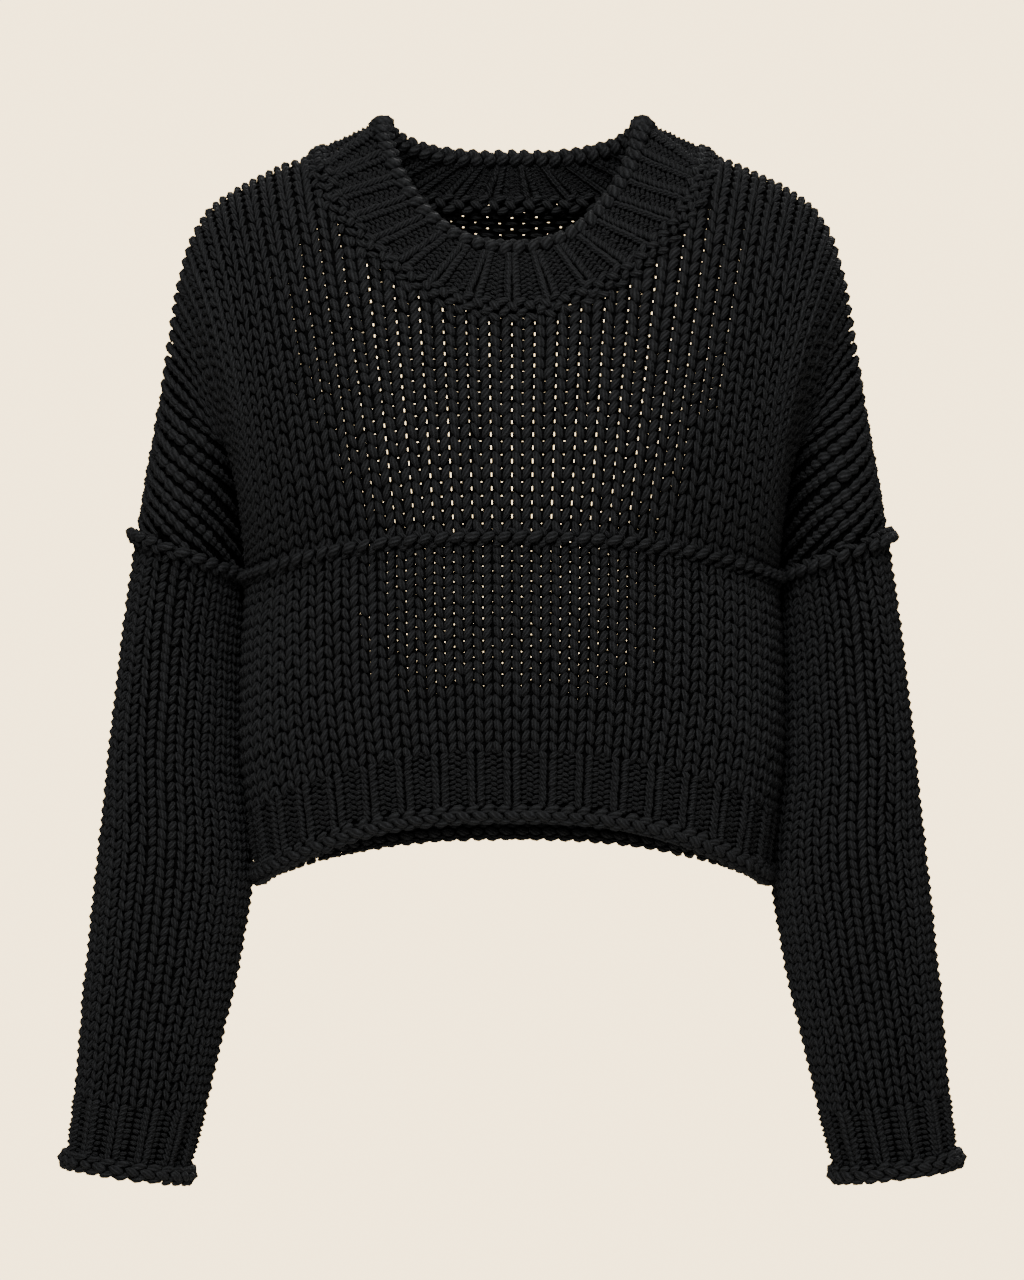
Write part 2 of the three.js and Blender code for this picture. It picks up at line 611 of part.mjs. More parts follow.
// The chain over the sleeve seam, open where the arm rests against the body
const SLEEVE_RIDGE_LIFT = 1.6; // clear of the cloth where the ring turns tightest
const SLEEVE_RIDGE_STEPS = { front: 8, back: 6 };
function addSleeveRidge(name, side) {
  const { front, back } = SLEEVE_RIDGE_STEPS;
  const places = range(front + back + 1).map((step) => {
    const angle = ringAngle(step - front);
    const out = ringNormal(0, angle);
    const centre = sleevePoint(0, angle).addScaledVector(sleeveAxis(0), -RIDGE_DROP)
      .addScaledVector(out, WALL / 2 + SLEEVE_RIDGE_LIFT + SEAM_RIDGE_RADIUS);
    return { centre: side > 0 ? centre : mirrored(centre), out: side > 0 ? out : mirrored(out) };
  });
  addPiece(name, cordGeometry(places, SEAM_RIDGE_RADIUS, RIDGE_SIDES, false), COLOURS.edge);
}

// The ribbed neckband, its chained free edge and the chain over its seam
function addNeckband() {
  const round = neckRound();
  const points = [];
  const normals = [];
  const edges = [];
  const ridges = [];
  round.forEach(({ wale, facing }, index) => {
    const next = round[(index + 1) % round.length];
    const previous = round[(index + round.length - 1) % round.length];
    const along = (place) => place(next.wale, next.facing)
      .sub(place(previous.wale, previous.facing)).normalize();
    const seam = neckSeamPoint(wale, facing);
    const edge = neckEdgePoint(wale, facing);
    const seamOut = neckSeamNormal(index);
    const edgeAlong = along(neckEdgePoint);
    const edgeOut = edgeAlong.clone().cross(edge.clone().sub(seam)).normalize();
    const edgeUp = edgeOut.clone().cross(edgeAlong).normalize();
    const seamUp = seamOut.clone().cross(along(neckSeamPoint)).normalize();
    const ridge = seam.clone().addScaledVector(seamUp, RIDGE_DROP)
      .addScaledVector(seamOut, WALL / 2 + CHAIN_GAP + NECK_RIDGE_RADIUS);
    ridges.push({ centre: ridge, out: seamOut });
    const bandStart = seam.clone().addScaledVector(awayFromNeck(wale, facing, seamOut), -SEAM_GAP);
    points.push(range(BAND_ROWS + 1).map((row) => bandStart.clone().lerp(edge, row / BAND_ROWS)));
    normals.push(range(BAND_ROWS + 1)
      .map((row) => seamOut.clone().lerp(edgeOut, row / BAND_ROWS).normalize()));
    const chain = edge.clone().addScaledVector(edgeUp, NECK_EDGE_RADIUS + CHAIN_GAP);
    edges.push({ centre: chain, out: edgeOut });
  });
  addPiece('neckband', wallGeometry(points, normals, true), COLOURS.rib);
  addPiece('neckband_edge', cordGeometry(edges, NECK_EDGE_RADIUS, ROLL_SIDES, true), COLOURS.edge);
  addPiece('neckband_seam', cordGeometry(ridges, NECK_RIDGE_RADIUS, RIDGE_SIDES, true), COLOURS.edge);
}

const FARTHEST_RIDGE_WALE = { front: 18.4, back: 13.5 };
['front', 'back'].forEach((facing) => {
  addYoke(facing);
  addBodyWall(`${facing}_panel`, facing, 0, RIB_LEVEL, BODY_ROWS, COLOURS.knit);
  addBodyWall(`${facing}_hem_rib`, facing, RIB_LEVEL, HEM_LEVEL, RIB_ROWS, COLOURS.rib);
  addHemEdge(facing);
  addChestRidge(facing, FARTHEST_RIDGE_WALE[facing]);
});
[['left', 1], ['right', -1]].forEach(([hand, side]) => {
  addSleeveWall(`${hand}_sleeve`, 0, CUFF_RING, SLEEVE_ROWS, side, COLOURS.knit);
  addSleeveWall(`${hand}_cuff`, CUFF_RING, CUFF_END_RING, RIB_ROWS, side, COLOURS.rib);
  addCuffEdge(`${hand}_cuff_edge`, side);
  addSleeveRidge(`${hand}_sleeve_seam`, side);
});
addNeckband();

export default sweater;
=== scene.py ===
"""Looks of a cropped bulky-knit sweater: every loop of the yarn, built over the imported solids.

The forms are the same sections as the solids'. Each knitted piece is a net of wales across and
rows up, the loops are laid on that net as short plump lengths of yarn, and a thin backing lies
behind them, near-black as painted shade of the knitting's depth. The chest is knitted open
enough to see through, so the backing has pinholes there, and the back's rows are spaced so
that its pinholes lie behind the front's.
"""

import math

import bpy
import numpy as np
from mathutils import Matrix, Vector


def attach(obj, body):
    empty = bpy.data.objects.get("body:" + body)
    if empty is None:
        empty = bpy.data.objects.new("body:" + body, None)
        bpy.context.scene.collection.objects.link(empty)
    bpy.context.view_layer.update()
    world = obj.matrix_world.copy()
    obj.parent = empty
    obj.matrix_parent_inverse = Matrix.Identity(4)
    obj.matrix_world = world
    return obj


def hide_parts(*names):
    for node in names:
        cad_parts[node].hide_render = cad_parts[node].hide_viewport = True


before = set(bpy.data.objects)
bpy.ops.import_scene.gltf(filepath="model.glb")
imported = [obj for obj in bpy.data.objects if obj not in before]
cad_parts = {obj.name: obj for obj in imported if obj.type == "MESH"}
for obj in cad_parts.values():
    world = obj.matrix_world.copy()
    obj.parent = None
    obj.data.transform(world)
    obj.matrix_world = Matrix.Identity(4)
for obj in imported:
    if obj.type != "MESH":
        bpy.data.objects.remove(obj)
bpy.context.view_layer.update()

bl_info = {
    "name": "Cropped knit sweater",
    "version": (1, 0, 0),
    "blender": (4, 5, 0),
    "location": "View3D > Sidebar > Sweater",
    "description": "Knits a cropped sweater loop by loop over its solids",
    "category": "Object",
}

MM = 0.001
SEED = 12
BODY_NAME = "root"

# ---------------------------------------------------------------- forms, in millimetres

SECTION_POWER = 2.3  # how square the body's section is
ARCH_POWER = 2.5  # how flat its levels run across the middle
BOW_LIFT = 0.9  # how much a yoke column's bow goes up for each millimetre inward
CHEST_WALES = 19  # from the middle to the side seam
NECK_WALES = 7.5  # from the middle to the side of the neck
ARM_WALES = 28  # from the middle to the end of the sleeve seam
NECK_CENTRE_Z = 8
NECK_HALF_WIDTH = 121
NECK_DROP = {"front": 102, "back": 27}
NECK_POWER_ACROSS = 2
NECK_POWER_DOWN = 1.65
NECK_EDGE_HALF_WIDTH = 84
NECK_EDGE = {"front": (-71, -57), "side": (2, 26), "back": (43, 6)}
NECK_EDGE_POWER = 2.2
NECK_EDGE_FALL = 1.4
HEM_ROLL = 5.3  # from the rib's edge to the middle of the rolled edge
CUFF_ROLL = 5.5
CUFF_FLARE = 2.6
NECK_ROLL = 5.2
NECK_CHAIN_SEAT = 0.7  # share of that roll at which the neck's chain sits


class Table:
    """Rows of sizes with named columns, read between rows by a shape-preserving cubic."""

    def __init__(self, names, rows):
        self.columns = {name: np.array(kept, float) for name, kept in zip(names, zip(*rows))}
        self.keys = self.columns[names[0]]

    def at(self, name, where):
        keys, values = self.keys, self.columns[name]
        gaps = np.diff(keys)
        rates = np.diff(values) / gaps
        product = rates[:-1] * rates[1:]
        total = np.where(product > 0, rates[:-1] + rates[1:], 1)
        inner = np.where(product > 0, 2 * product / total, 0)
        slopes = np.concatenate([rates[:1], inner, rates[-1:]])
        wanted = np.clip(where, keys[0], keys[-1])
        low = np.clip(np.searchsorted(keys, wanted) - 1, 0, len(gaps) - 1)
        t = (wanted - keys[low]) / gaps[low]
        start = values[low] + slopes[low] * gaps[low] * t * (1 - t) ** 2
        blend = t * t * (3 - 2 * t) * (values[low + 1] - values[low])
        return start + blend - slopes[low + 1] * gaps[low] * t * t * (1 - t)


# Body below the chest seam: heights at the side, and how much higher each level runs in the middle
BODY = Table(
    ("level", "side_z", "half_width", "front_depth", "back_depth", "front_rise", "back_rise"),
    (
        (0, -253, 162.5, 112, 106, 24, 28),
        (1, -300, 165.5, 115, 109, 30, 30),
        (2, -350, 166.5, 116, 110, 35, 30),
        (3, -400, 162, 114, 108, 39, 26),
        (4, -434, 157.5, 111, 105, 40, 23),
    ),
)
RIB_LEVEL = 3
HEM_LEVEL = 4

# Yoke: each row is a column of stitches, from its place on the shoulder line or outer arm
YOKE = Table(
    ("wale", "top_x", "top_z", "ridge_y", "front", "back", "bow", "swell", "skew"),
    (
        (0, 0, 21, 0, 112, 106, 0, 1.35, 0),
        (4, 64, 20, 0, 112, 106, 0, 1.35, 0),
        (7.5, 121, 8, 0, 110, 104, 2, 1.35, 0),
        (11, 160, -8, 0, 105, 100, 5, 1.3, 0),
        (14, 187, -26, 0, 95, 92, 12, 1.2, 0),
        (16, 199.5, -49, 0, 84, 84, 18, 1.12, 0),
        (18, 206.5, -77, 0, 60, 66, 22, 1.04, 0),
        (19, 209, -91, 0, 48, 56, 21, 1, 0),
        (21, 213.5, -120, 3, 38, 48, 14, 1, 0.04),
        (23.5, 219, -158, 11, 46, 54, 4, 1, 0.08),
        (26, 225.5, -197, 19, 58, 60, 0, 1, 0.11),
        (28, 230.5, -226, 24, 62, 62, 0, 1, 0.12),
    ),
)
UNDERARM = Table(
    ("wale", "x", "z"),
    (
        (19, 162.5, -253),
        (20.5, 163, -220),
        (22, 164.5, -191),
        (23.5, 168, -176),
        (25, 171, -190),
        (26.5, 170, -220),
        (28, 169, -253),
    ),
)

# Left sleeve: each row is a ring, from its outer to its inner end in front view
SLEEVE = Table(
    ("ring", "outer_x", "outer_z", "inner_x", "inner_z", "centre_y", "depth", "skew"),
    (
        (0, 230.5, -226, 169, -253, 24, 62, 0.12),
        (1, 238.5, -290, 170.5, -313, 24, 60, 0.2),
        (2, 246, -350, 170.5, -370, 22, 57, 0.2),
        (3, 253.5, -410, 166, -427, 18, 53, 0.14),
        (4, 261, -475, 173, -489, 12, 49, 0.08),
        (5, 266.5, -530, 184.5, -542, 6, 45, 0.03),
        (6, 270, -577, 195, -587, 1, 41, 0),
        (7, 274, -612, 204, -621, -2, 38, 0),
    ),
)
CUFF_RING = 6
CUFF_END_RING = 7

# ---------------------------------------------------------------- gauge

YOKE_ROWS = 36
PANEL_ROWS = 20
HEM_ROWS = 10
SLEEVE_WALES = 26
SLEEVE_ROWS = 58
CUFF_ROWS = 10
BAND_WALES = 60
BAND_ROWS = 13
WAIST_DRAW = 0.07  # the lower panel's middle columns run closer towards the rib

# Share of a yoke column's length, from the seam up, at each row: open across the chest
YOKE_SPACING = Table(
    ("row", "share"),
    ((0, 0), (9, 0.257), (18, 0.474), (27, 0.735), (36, 1)),
)

# Over the dropped shoulder the columns start further down the outer arm and lean down it
DROP = Table(
    ("wale", "start", "lean"),
    (
        (0, 0, 0),
        (19, 19, 0),
        (20, 20.1, 0.5),
        (21, 21.1, 1.8),
        (22, 22.15, 2.7),
        (23, 23.2, 3.1),
        (24, 24.25, 3.3),
        (28, 28.5, 3.4),
    ),
)
DROP_ROW = 7.2  # height of a row there
DROP_BLEND = (14, 19)  # wales

NET_WALE = 0.25  # net steps
NET_ROW = 0.5
GAUGE_WALE = 13.9  # width of a wale at which the yarn has its plain thickness

# How finely the forms are worked out: shares of a length or a turn, and rings of a sleeve
CHEST_STEP = 1 / 240
COLUMN_STEP = 1 / 200
NECK_COLUMN_STEP = 1 / 600
NECK_TURN_STEP = 1 / 90
SLEEVE_TURN_STEP = 1 / 180
RING_STEP = 0.05
NECK_ROW_STEP = 0.1  # rows


def signed_power(value, power):
    return np.sign(value) * np.abs(value) ** power


def unit(vectors):
    return vectors / np.maximum(np.linalg.norm(vectors, axis=-1, keepdims=True), 1e-12)


def steps(low, high, step):
    return np.linspace(low, high, int(round(abs(high - low) / step)) + 1)


def lengths_along(lines):
    """Length from the first point of each line to each of its points."""
    pieces = np.linalg.norm(np.diff(lines, axis=-2), axis=-1)
    start = np.zeros(pieces.shape[:-1] + (1,))
    return np.concatenate([start, np.cumsum(pieces, axis=-1)], axis=-1)


def even_points(lines, shares):
    """Points on each line at those shares of its length."""
    made = np.empty((len(lines), len(shares), 3))
    for line, lengths, kept in zip(lines, lengths_along(lines), made):
        for axis in range(3):
            kept[:, axis] = np.interp(shares * lengths[-1], lengths, line[:, axis])
    return made


def smooth(low, high, value):
    """0 at low, 1 at high and a soft ramp between; low may be above high."""
    t = np.clip((value - low) / (high - low), 0, 1)
    return t * t * (3 - 2 * t)


# ---------------------------------------------------------------- surfaces, in millimetres


def body_points(level, angle):
    """The body below the chest seam: angle 0 is centre front and a half turn is centre back."""
    front = np.cos(angle) >= 0
    half_width = BODY.at("half_width", level)
    depth = np.where(front, BODY.at("front_depth", level), BODY.at("back_depth", level))
    rise = np.where(front, BODY.at("front_rise", level), BODY.at("back_rise", level))
    x = half_width * signed_power(np.sin(angle), 2 / SECTION_POWER)
    y = -depth * signed_power(np.cos(angle), 2 / SECTION_POWER)
    z = BODY.at("side_z", level) + rise * (1 - np.abs(x / half_width) ** ARCH_POWER)
    return np.stack(np.broadcast_arrays(x, y, z), -1)


def wale_angles(wales, facing):
    """Where columns of stitches cross the chest seam, evenly spaced along the cloth."""
    middle, sense = (0, 1) if facing == "front" else (math.pi, -1)
    angles = middle + sense * math.pi / 2 * steps(0, 1, CHEST_STEP)
    lengths = lengths_along(body_points(0, angles))
    share = np.minimum(np.abs(wales), CHEST_WALES) / CHEST_WALES
    found = np.interp(share * lengths[-1], lengths, angles)
    return np.where(np.asarray(wales) < 0, -found, found)


def yoke_columns(wales, shares, facing):
    """Points down whole columns of the left half, from the shoulder line to the seam below.
    wales has a row for each column, and may have a place for each share."""
    sense = -1 if facing == "front" else 1
    depth, swell = YOKE.at(facing, wales), YOKE.at("swell", wales)
    top = np.stack([YOKE.at("top_x", wales), YOKE.at("top_z", wales)], -1)
    seam = body_points(0, wale_angles(wales, facing))
    underarm = np.stack([UNDERARM.at("x", wales), UNDERARM.at("z", wales)], -1)
    on_chest = wales <= CHEST_WALES
    bottom = np.where(on_chest[..., None], seam[..., [0, 2]], underarm)
    lean = np.minimum(1, np.abs(seam[..., 1]) / depth) ** (1 / swell)
    end = np.where(on_chest, math.pi - np.arcsin(lean), math.pi)
    turn = end * shares
    t = ((1 - np.cos(turn)) / (1 - np.cos(end)))[..., None]
    middle = (top + bottom) / 2 + YOKE.at("bow", wales)[..., None] * np.array([-1, BOW_LIFT])
    flat = top * (1 - t) ** 2 + middle * 2 * t * (1 - t) + bottom * t * t
    reach = sense * depth * signed_power(np.sin(turn), swell)
    flat = flat + unit(bottom - top) * (YOKE.at("skew", wales) * reach)[..., None]
    return np.stack([flat[..., 0], YOKE.at("ridge_y", wales) + reach, flat[..., 1]], -1)


def inside_neck(points, facing):
    across = np.abs(points[..., 0] / NECK_HALF_WIDTH) ** NECK_POWER_ACROSS
    fall = np.maximum(0, (NECK_CENTRE_Z - points[..., 2]) / NECK_DROP[facing])
    return across + fall**NECK_POWER_DOWN < 1


def sleeve_points(ring, angle):
    """The left sleeve: angle 0 is the outer arm and the front is at negative angles."""
    outer = np.stack([SLEEVE.at("outer_x", ring), SLEEVE.at("outer_z", ring)], -1)
    inner = np.stack([SLEEVE.at("inner_x", ring), SLEEVE.at("inner_z", ring)], -1)
    reach = SLEEVE.at("depth", ring) * np.sin(angle)
    flat = outer + (inner - outer) * ((1 - np.cos(angle)) / 2)[..., None]
    flat = flat + unit(inner - outer) * (SLEEVE.at("skew", ring) * reach)[..., None]
    return np.stack([flat[..., 0], SLEEVE.at("centre_y", ring) + reach, flat[..., 1]], -1)


# ---------------------------------------------------------------- nets


class Net:
    """A knitted piece's mid-surface as points, in metres: wales across and rows up.

    A point may be asked for between the net's own and a little past its edges. column_lengths
    holds the lengths of a yoke's left columns, in millimetres.
    """

    def __init__(self, first_wale, points, within, round_tube=False, column_lengths=None):
        self.first_wale = first_wale
        self.round_tube = round_tube
        self.column_lengths = column_lengths
        self.points = points
        across = self.slopes_across()
        normals = unit(np.cross(across, np.gradient(points, axis=1)))
        outward = np.sum(normals * (points - within)) > 0
        self.normals = normals if outward else -normals

    def slopes_across(self):
        if not self.round_tube:
            return np.gradient(self.points, axis=0)
        slopes = np.roll(self.points[:-1], -1, axis=0) - np.roll(self.points[:-1], 1, axis=0)
        return np.concatenate([slopes, slopes[:1]])

    def last_row(self):
        return (self.points.shape[1] - 1) * NET_ROW

    def at(self, wales, rows, lift=0.0):
        """(points raised by lift in metres, outward directions) at places in wales and rows."""
        count = self.points.shape[0] - 1
        i = (np.asarray(wales, float) - self.first_wale) / NET_WALE
        if self.round_tube:
            i = i % count
        j = np.asarray(rows, float) / NET_ROW
        i, j = np.broadcast_arrays(i, j)
        low_i = np.clip(i.astype(int), 0, count - 1)
        low_j = np.clip(j.astype(int), 0, self.points.shape[1] - 2)
        s, t = (i - low_i)[..., None], (j - low_j)[..., None]

        def blend(kept):
            low = kept[low_i, low_j] * (1 - s) + kept[low_i + 1, low_j] * s
            high = kept[low_i, low_j + 1] * (1 - s) + kept[low_i + 1, low_j + 1] * s
            return low * (1 - t) + high * t

        normals = unit(blend(self.normals))
        return blend(self.points) + normals * np.asarray(lift)[..., None], normals


WITHIN_BODY = np.array([0, 0, -0.2])


def both_halves(half):
    """The whole of a piece from its left half, whose first column is the middle."""
    return np.concatenate([half[:0:-1] * np.array([-1, 1, 1]), half])


def yoke_net(facing, leaning):
    """The plain net follows the solid's columns; the leaning one is for the stitches."""
    wales = steps(0, ARM_WALES, NET_WALE)[:, None]
    down = steps(0, 1, COLUMN_STEP)[None, :]
    places = DROP.at("start", wales) + DROP.at("lean", wales) * down if leaning else wales
    columns = yoke_columns(np.minimum(places, ARM_WALES), down, facing)[:, ::-1]
    shares = YOKE_SPACING.at("share", steps(0, YOKE_ROWS, NET_ROW))
    points = both_halves(even_points(columns, shares)) * MM
    return Net(-ARM_WALES, points, WITHIN_BODY, column_lengths=lengths_along(columns)[:, -1])


STITCH_MIDDLE = 0.6  # rows from a stitch's start to the place that is tested
SEAM_OVERRUN = 0.15  # wales by which it may lie past the sleeve's seam


def past_sleeve_seam(wales, rows):
    """Which stitches of a leaning net would lie beyond the sleeve's seam."""
    down = 1 - YOKE_SPACING.at("share", rows + STITCH_MIDDLE)
    size = np.abs(wales)
    return DROP.at("start", size) + DROP.at("lean", size) * down > ARM_WALES + SEAM_OVERRUN


def panel_net(facing, low_level, high_level, rows):
    """The body between two levels, with its first row at the lower one."""
    wales = steps(-CHEST_WALES, CHEST_WALES, NET_WALE)[:, None]
    level = low_level + (high_level - low_level) * steps(0, 1, NET_ROW / rows)[None, :]
    drawn = np.minimum(level / RIB_LEVEL, 1) * WAIST_DRAW
    places = wales * (1 - drawn * (1 - (wales / CHEST_WALES) ** 2))
    return Net(-CHEST_WALES, body_points(level, wale_angles(places, facing)) * MM, WITHIN_BODY)


def tube_net(side, low_ring, high_ring, rows):
    """A stretch of a sleeve, with its first row at the wrist's end."""
    rings = steps(low_ring, high_ring, RING_STEP)
    middle = (sleeve_points(rings, 0 * rings) + sleeve_points(rings, 0 * rings + math.pi)) / 2
    lengths = lengths_along(middle)
    places = np.interp(steps(0, 1, NET_ROW / rows) * lengths[-1], lengths, rings)
    angles = steps(0, 1, SLEEVE_TURN_STEP) * 2 * math.pi
    lines = sleeve_points(places[:, None], angles[None, :])
    net = even_points(lines, steps(0, 1, NET_WALE / SLEEVE_WALES)).transpose(1, 0, 2) * MM
    net = net * np.array([side, 1, 1])
    return Net(0, net, net.mean(axis=0), round_tube=True)


def neck_round():
    """Seam and free edge of the neckband at even turns, once round from centre front."""
    quarter = steps(0, 1, NECK_TURN_STEP)
    wales = NECK_WALES * (1 - (1 - quarter) ** 3)
    seams, edges = [], []
    for facing in ("front", "back"):
        columns = yoke_columns(wales[:, None], steps(0, 1, NECK_COLUMN_STEP), facing)
        inside = inside_neck(columns, facing)
        inside[-1] = False
        last = np.maximum(inside.sum(axis=1) - 1, 0)
        seams.append(columns[np.arange(len(wales)), last])
        angle = quarter * math.pi / 2
        forward = np.abs(np.cos(angle)) ** (2 / NECK_EDGE_POWER)
        (middle_y, middle_z), (side_y, side_z) = NECK_EDGE[facing], NECK_EDGE["side"]
        edge_x = NECK_EDGE_HALF_WIDTH * np.sin(angle) ** (2 / NECK_EDGE_POWER)
        edge_y = side_y + (middle_y - side_y) * forward
        edge_z = side_z + (middle_z - side_z) * forward**NECK_EDGE_FALL
        edges.append(np.stack([edge_x, edge_y, edge_z], -1))
    whole = []
    for front, back in (seams, edges):
        left = np.concatenate([front, back[-2::-1]])
        whole.append(np.concatenate([left, left[-2::-1] * np.array([-1, 1, 1])]) * MM)
    return whole


def band_net():
    """The neckband, with its first row at the seam and its first wale at centre front."""
    seam, edge = neck_round()
    lengths = lengths_along((seam + edge) / 2)
    wanted = steps(0, 1, NET_WALE / BAND_WALES) * lengths[-1]
    lines = [
        np.stack([np.interp(wanted, lengths, line[:, axis]) for axis in range(3)], -1)
        for line in (seam, edge)
    ]
    share = steps(0, 1, NET_ROW / BAND_ROWS)[None, :, None]
    points = lines[0][:, None] * (1 - share) + lines[1][:, None] * share
    return Net(0, points, WITHIN_BODY, round_tube=True)


# Where the back's nets are lined up: fully up to the near wale and not past the far one, with
# the rows over which that sets in and the rows over which it ends
YOKE_LINED_UP = {"near": 13, "far": 18, "low": (-1, 0), "high": (31, 36)}
PANEL_LINED_UP = {"near": 12, "far": 17, "low": (1, 5), "high": (PANEL_ROWS, PANEL_ROWS + 1)}
LINE_UP_ROUNDS = 8
LINE_UP_STEP = 0.25  # wales or rows over which a net's slope is taken
LINE_UP_WALES = 3  # how far a point may move
LINE_UP_ROWS = 6


def line_up(back, front, near, far, low, high):
    """The back's net, moved within its own surface so that its stitches lie behind the front's
    from the camera."""
    studio = bpy.context.scene.sweater_studio
    eye_y, eye_z = -studio.camera_distance, studio.camera_height

    def seen(points):
        away = points[..., 1] - eye_y
        return np.stack([points[..., 0] / away, (points[..., 2] - eye_z) / away], -1)

    shape = back.points.shape
    wales = back.first_wale + NET_WALE * np.arange(shape[0])[:, None] + np.zeros(shape[:2])
    rows = NET_ROW * np.arange(shape[1])[None, :] + np.zeros(shape[:2])
    wanted = seen(front.points)
    found_wales, found_rows = wales.copy(), rows.copy()
    step = LINE_UP_STEP
    for _ in range(LINE_UP_ROUNDS):
        here = seen(back.at(found_wales, found_rows)[0])
        by_wale = (seen(back.at(found_wales + step, found_rows)[0]) - here) / step
        by_row = (seen(back.at(found_wales, found_rows + step)[0]) - here) / step
        miss = wanted - here
        size = by_wale[..., 0] * by_row[..., 1] - by_wale[..., 1] * by_row[..., 0]
        size = np.where(np.abs(size) < 1e-9, 1e-9, size)
        more_wales = (miss[..., 0] * by_row[..., 1] - miss[..., 1] * by_row[..., 0]) / size
        more_rows = (by_wale[..., 0] * miss[..., 1] - by_wale[..., 1] * miss[..., 0]) / size
        found_wales = found_wales + np.clip(more_wales, -1, 1)
        found_wales = np.clip(found_wales, wales - LINE_UP_WALES, wales + LINE_UP_WALES)
        found_rows = found_rows + np.clip(more_rows, -1, 1)
        found_rows = np.clip(found_rows, rows - LINE_UP_ROWS, rows + LINE_UP_ROWS)
    share = smooth(far, near, np.abs(wales))
    share = share * smooth(low[0], low[1], rows) * smooth(high[1], high[0], rows)
    new_wales = wales + (found_wales - wales) * share
    new_rows = np.clip(rows + (found_rows - rows) * share, 0, back.last_row())
    points = back.at(new_wales, new_rows)[0]
    return Net(back.first_wale, points, WITHIN_BODY, column_lengths=back.column_lengths)


NETS = {}


def net(name):
    """A piece's net, made once."""
    if name not in NETS:
        NETS[name] = make_net(name)
    return NETS[name]


def make_net(name):
    if name == "neckband":
        return band_net()
    facing = name.split("_")[0]
    if name.endswith("hem_rib"):
        return panel_net(facing, HEM_LEVEL, RIB_LEVEL, HEM_ROWS)
    if "_yoke" in name:
        made = yoke_net(facing, name.endswith("leaning"))
        return made if facing == "front" else line_up(made, net("front_yoke"), **YOKE_LINED_UP)
    if "_panel" in name:
        made = panel_net(facing, RIB_LEVEL, 0, PANEL_ROWS)
        return made if facing == "front" else line_up(made, net("front_panel"), **PANEL_LINED_UP)
    side = 1 if name.startswith("left") else -1
    if name.endswith("sleeve"):
        return tube_net(side, CUFF_RING, 0, SLEEVE_ROWS)
    return tube_net(side, CUFF_END_RING, CUFF_RING, CUFF_ROWS)


# ---------------------------------------------------------------- meshes


def add_mesh(name, points, faces, uvs, material):
    """A smooth mesh from arrays. faces is a list of (n, corners) index arrays, and uvs has a
    place on the yarn or the knitting for each corner, in the same order."""
    mesh = bpy.data.meshes.new(name)
    corners = np.concatenate([kept.ravel() for kept in faces]).astype(np.int32)
    sizes = np.concatenate([np.full(len(kept), kept.shape[1]) for kept in faces])
    starts = np.concatenate([[0], np.cumsum(sizes)[:-1]]).astype(np.int32)
    mesh.vertices.add(len(points))
    mesh.vertices.foreach_set("co", np.asarray(points, np.float32).ravel())
    mesh.loops.add(len(corners))
    mesh.loops.foreach_set("vertex_index", corners)
    mesh.polygons.add(len(sizes))
    mesh.polygons.foreach_set("loop_start", starts)
    mesh.polygons.foreach_set("use_smooth", np.ones(len(sizes), bool))
    layer = mesh.uv_layers.new(name="OFBake")
    layer.data.foreach_set("uv", np.asarray(uvs, np.float32).ravel())
    mesh.update(calc_edges=True)
    mesh.validate()
    made = bpy.data.objects.new(name, mesh)
    bpy.context.scene.collection.objects.link(made)
    made.data.materials.append(material)
    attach(made, BODY_NAME)
    return made


STRAND_SIDES = 5
STRAND_START = math.pi / 2 - 2 * math.pi * (STRAND_SIDES // 2) / STRAND_SIDES  # a corner on top
STRAND_RINGS = 3
STRAND_POINTS = STRAND_RINGS + 2
STRAND_STARTS = (0, 0.2, 0.5, 0.8, 1)  # share of the length at each point
STRAND_SWELL = (0.76, 1, 0.76)  # share of the thickness at each ring


def strand_faces():
    """Corner numbers and places on the yarn for one closed length of yarn."""
    sides, rings = STRAND_SIDES, STRAND_RINGS
    tip, far_tip = 0, 1 + rings * sides
    triangles, quads, triangle_uvs, quad_uvs = [], [], [], []

    def at(ring, side):
        return 1 + ring * sides + side % sides

    def place(side, point):
        return (side / sides, STRAND_STARTS[point])

    for side in range(sides):
        between = side + 0.5
        triangles.append((tip, at(0, side + 1), at(0, side)))
        triangle_uvs += [place(between, 0), place(side + 1, 1), place(side, 1)]
        triangles.append((far_tip, at(rings - 1, side), at(rings - 1, side + 1)))
        triangle_uvs += [place(between, rings + 1), place(side, rings), place(side + 1, rings)]
        for ring in range(rings - 1):
            near = (at(ring, side), at(ring, side + 1))
            quads.append(near + (at(ring + 1, side + 1), at(ring + 1, side)))
            quad_uvs += [place(side, ring + 1), place(side + 1, ring + 1)]
            quad_uvs += [place(side + 1, ring + 2), place(side, ring + 2)]
    return np.array(triangles), np.array(quads), np.array(triangle_uvs), np.array(quad_uvs)


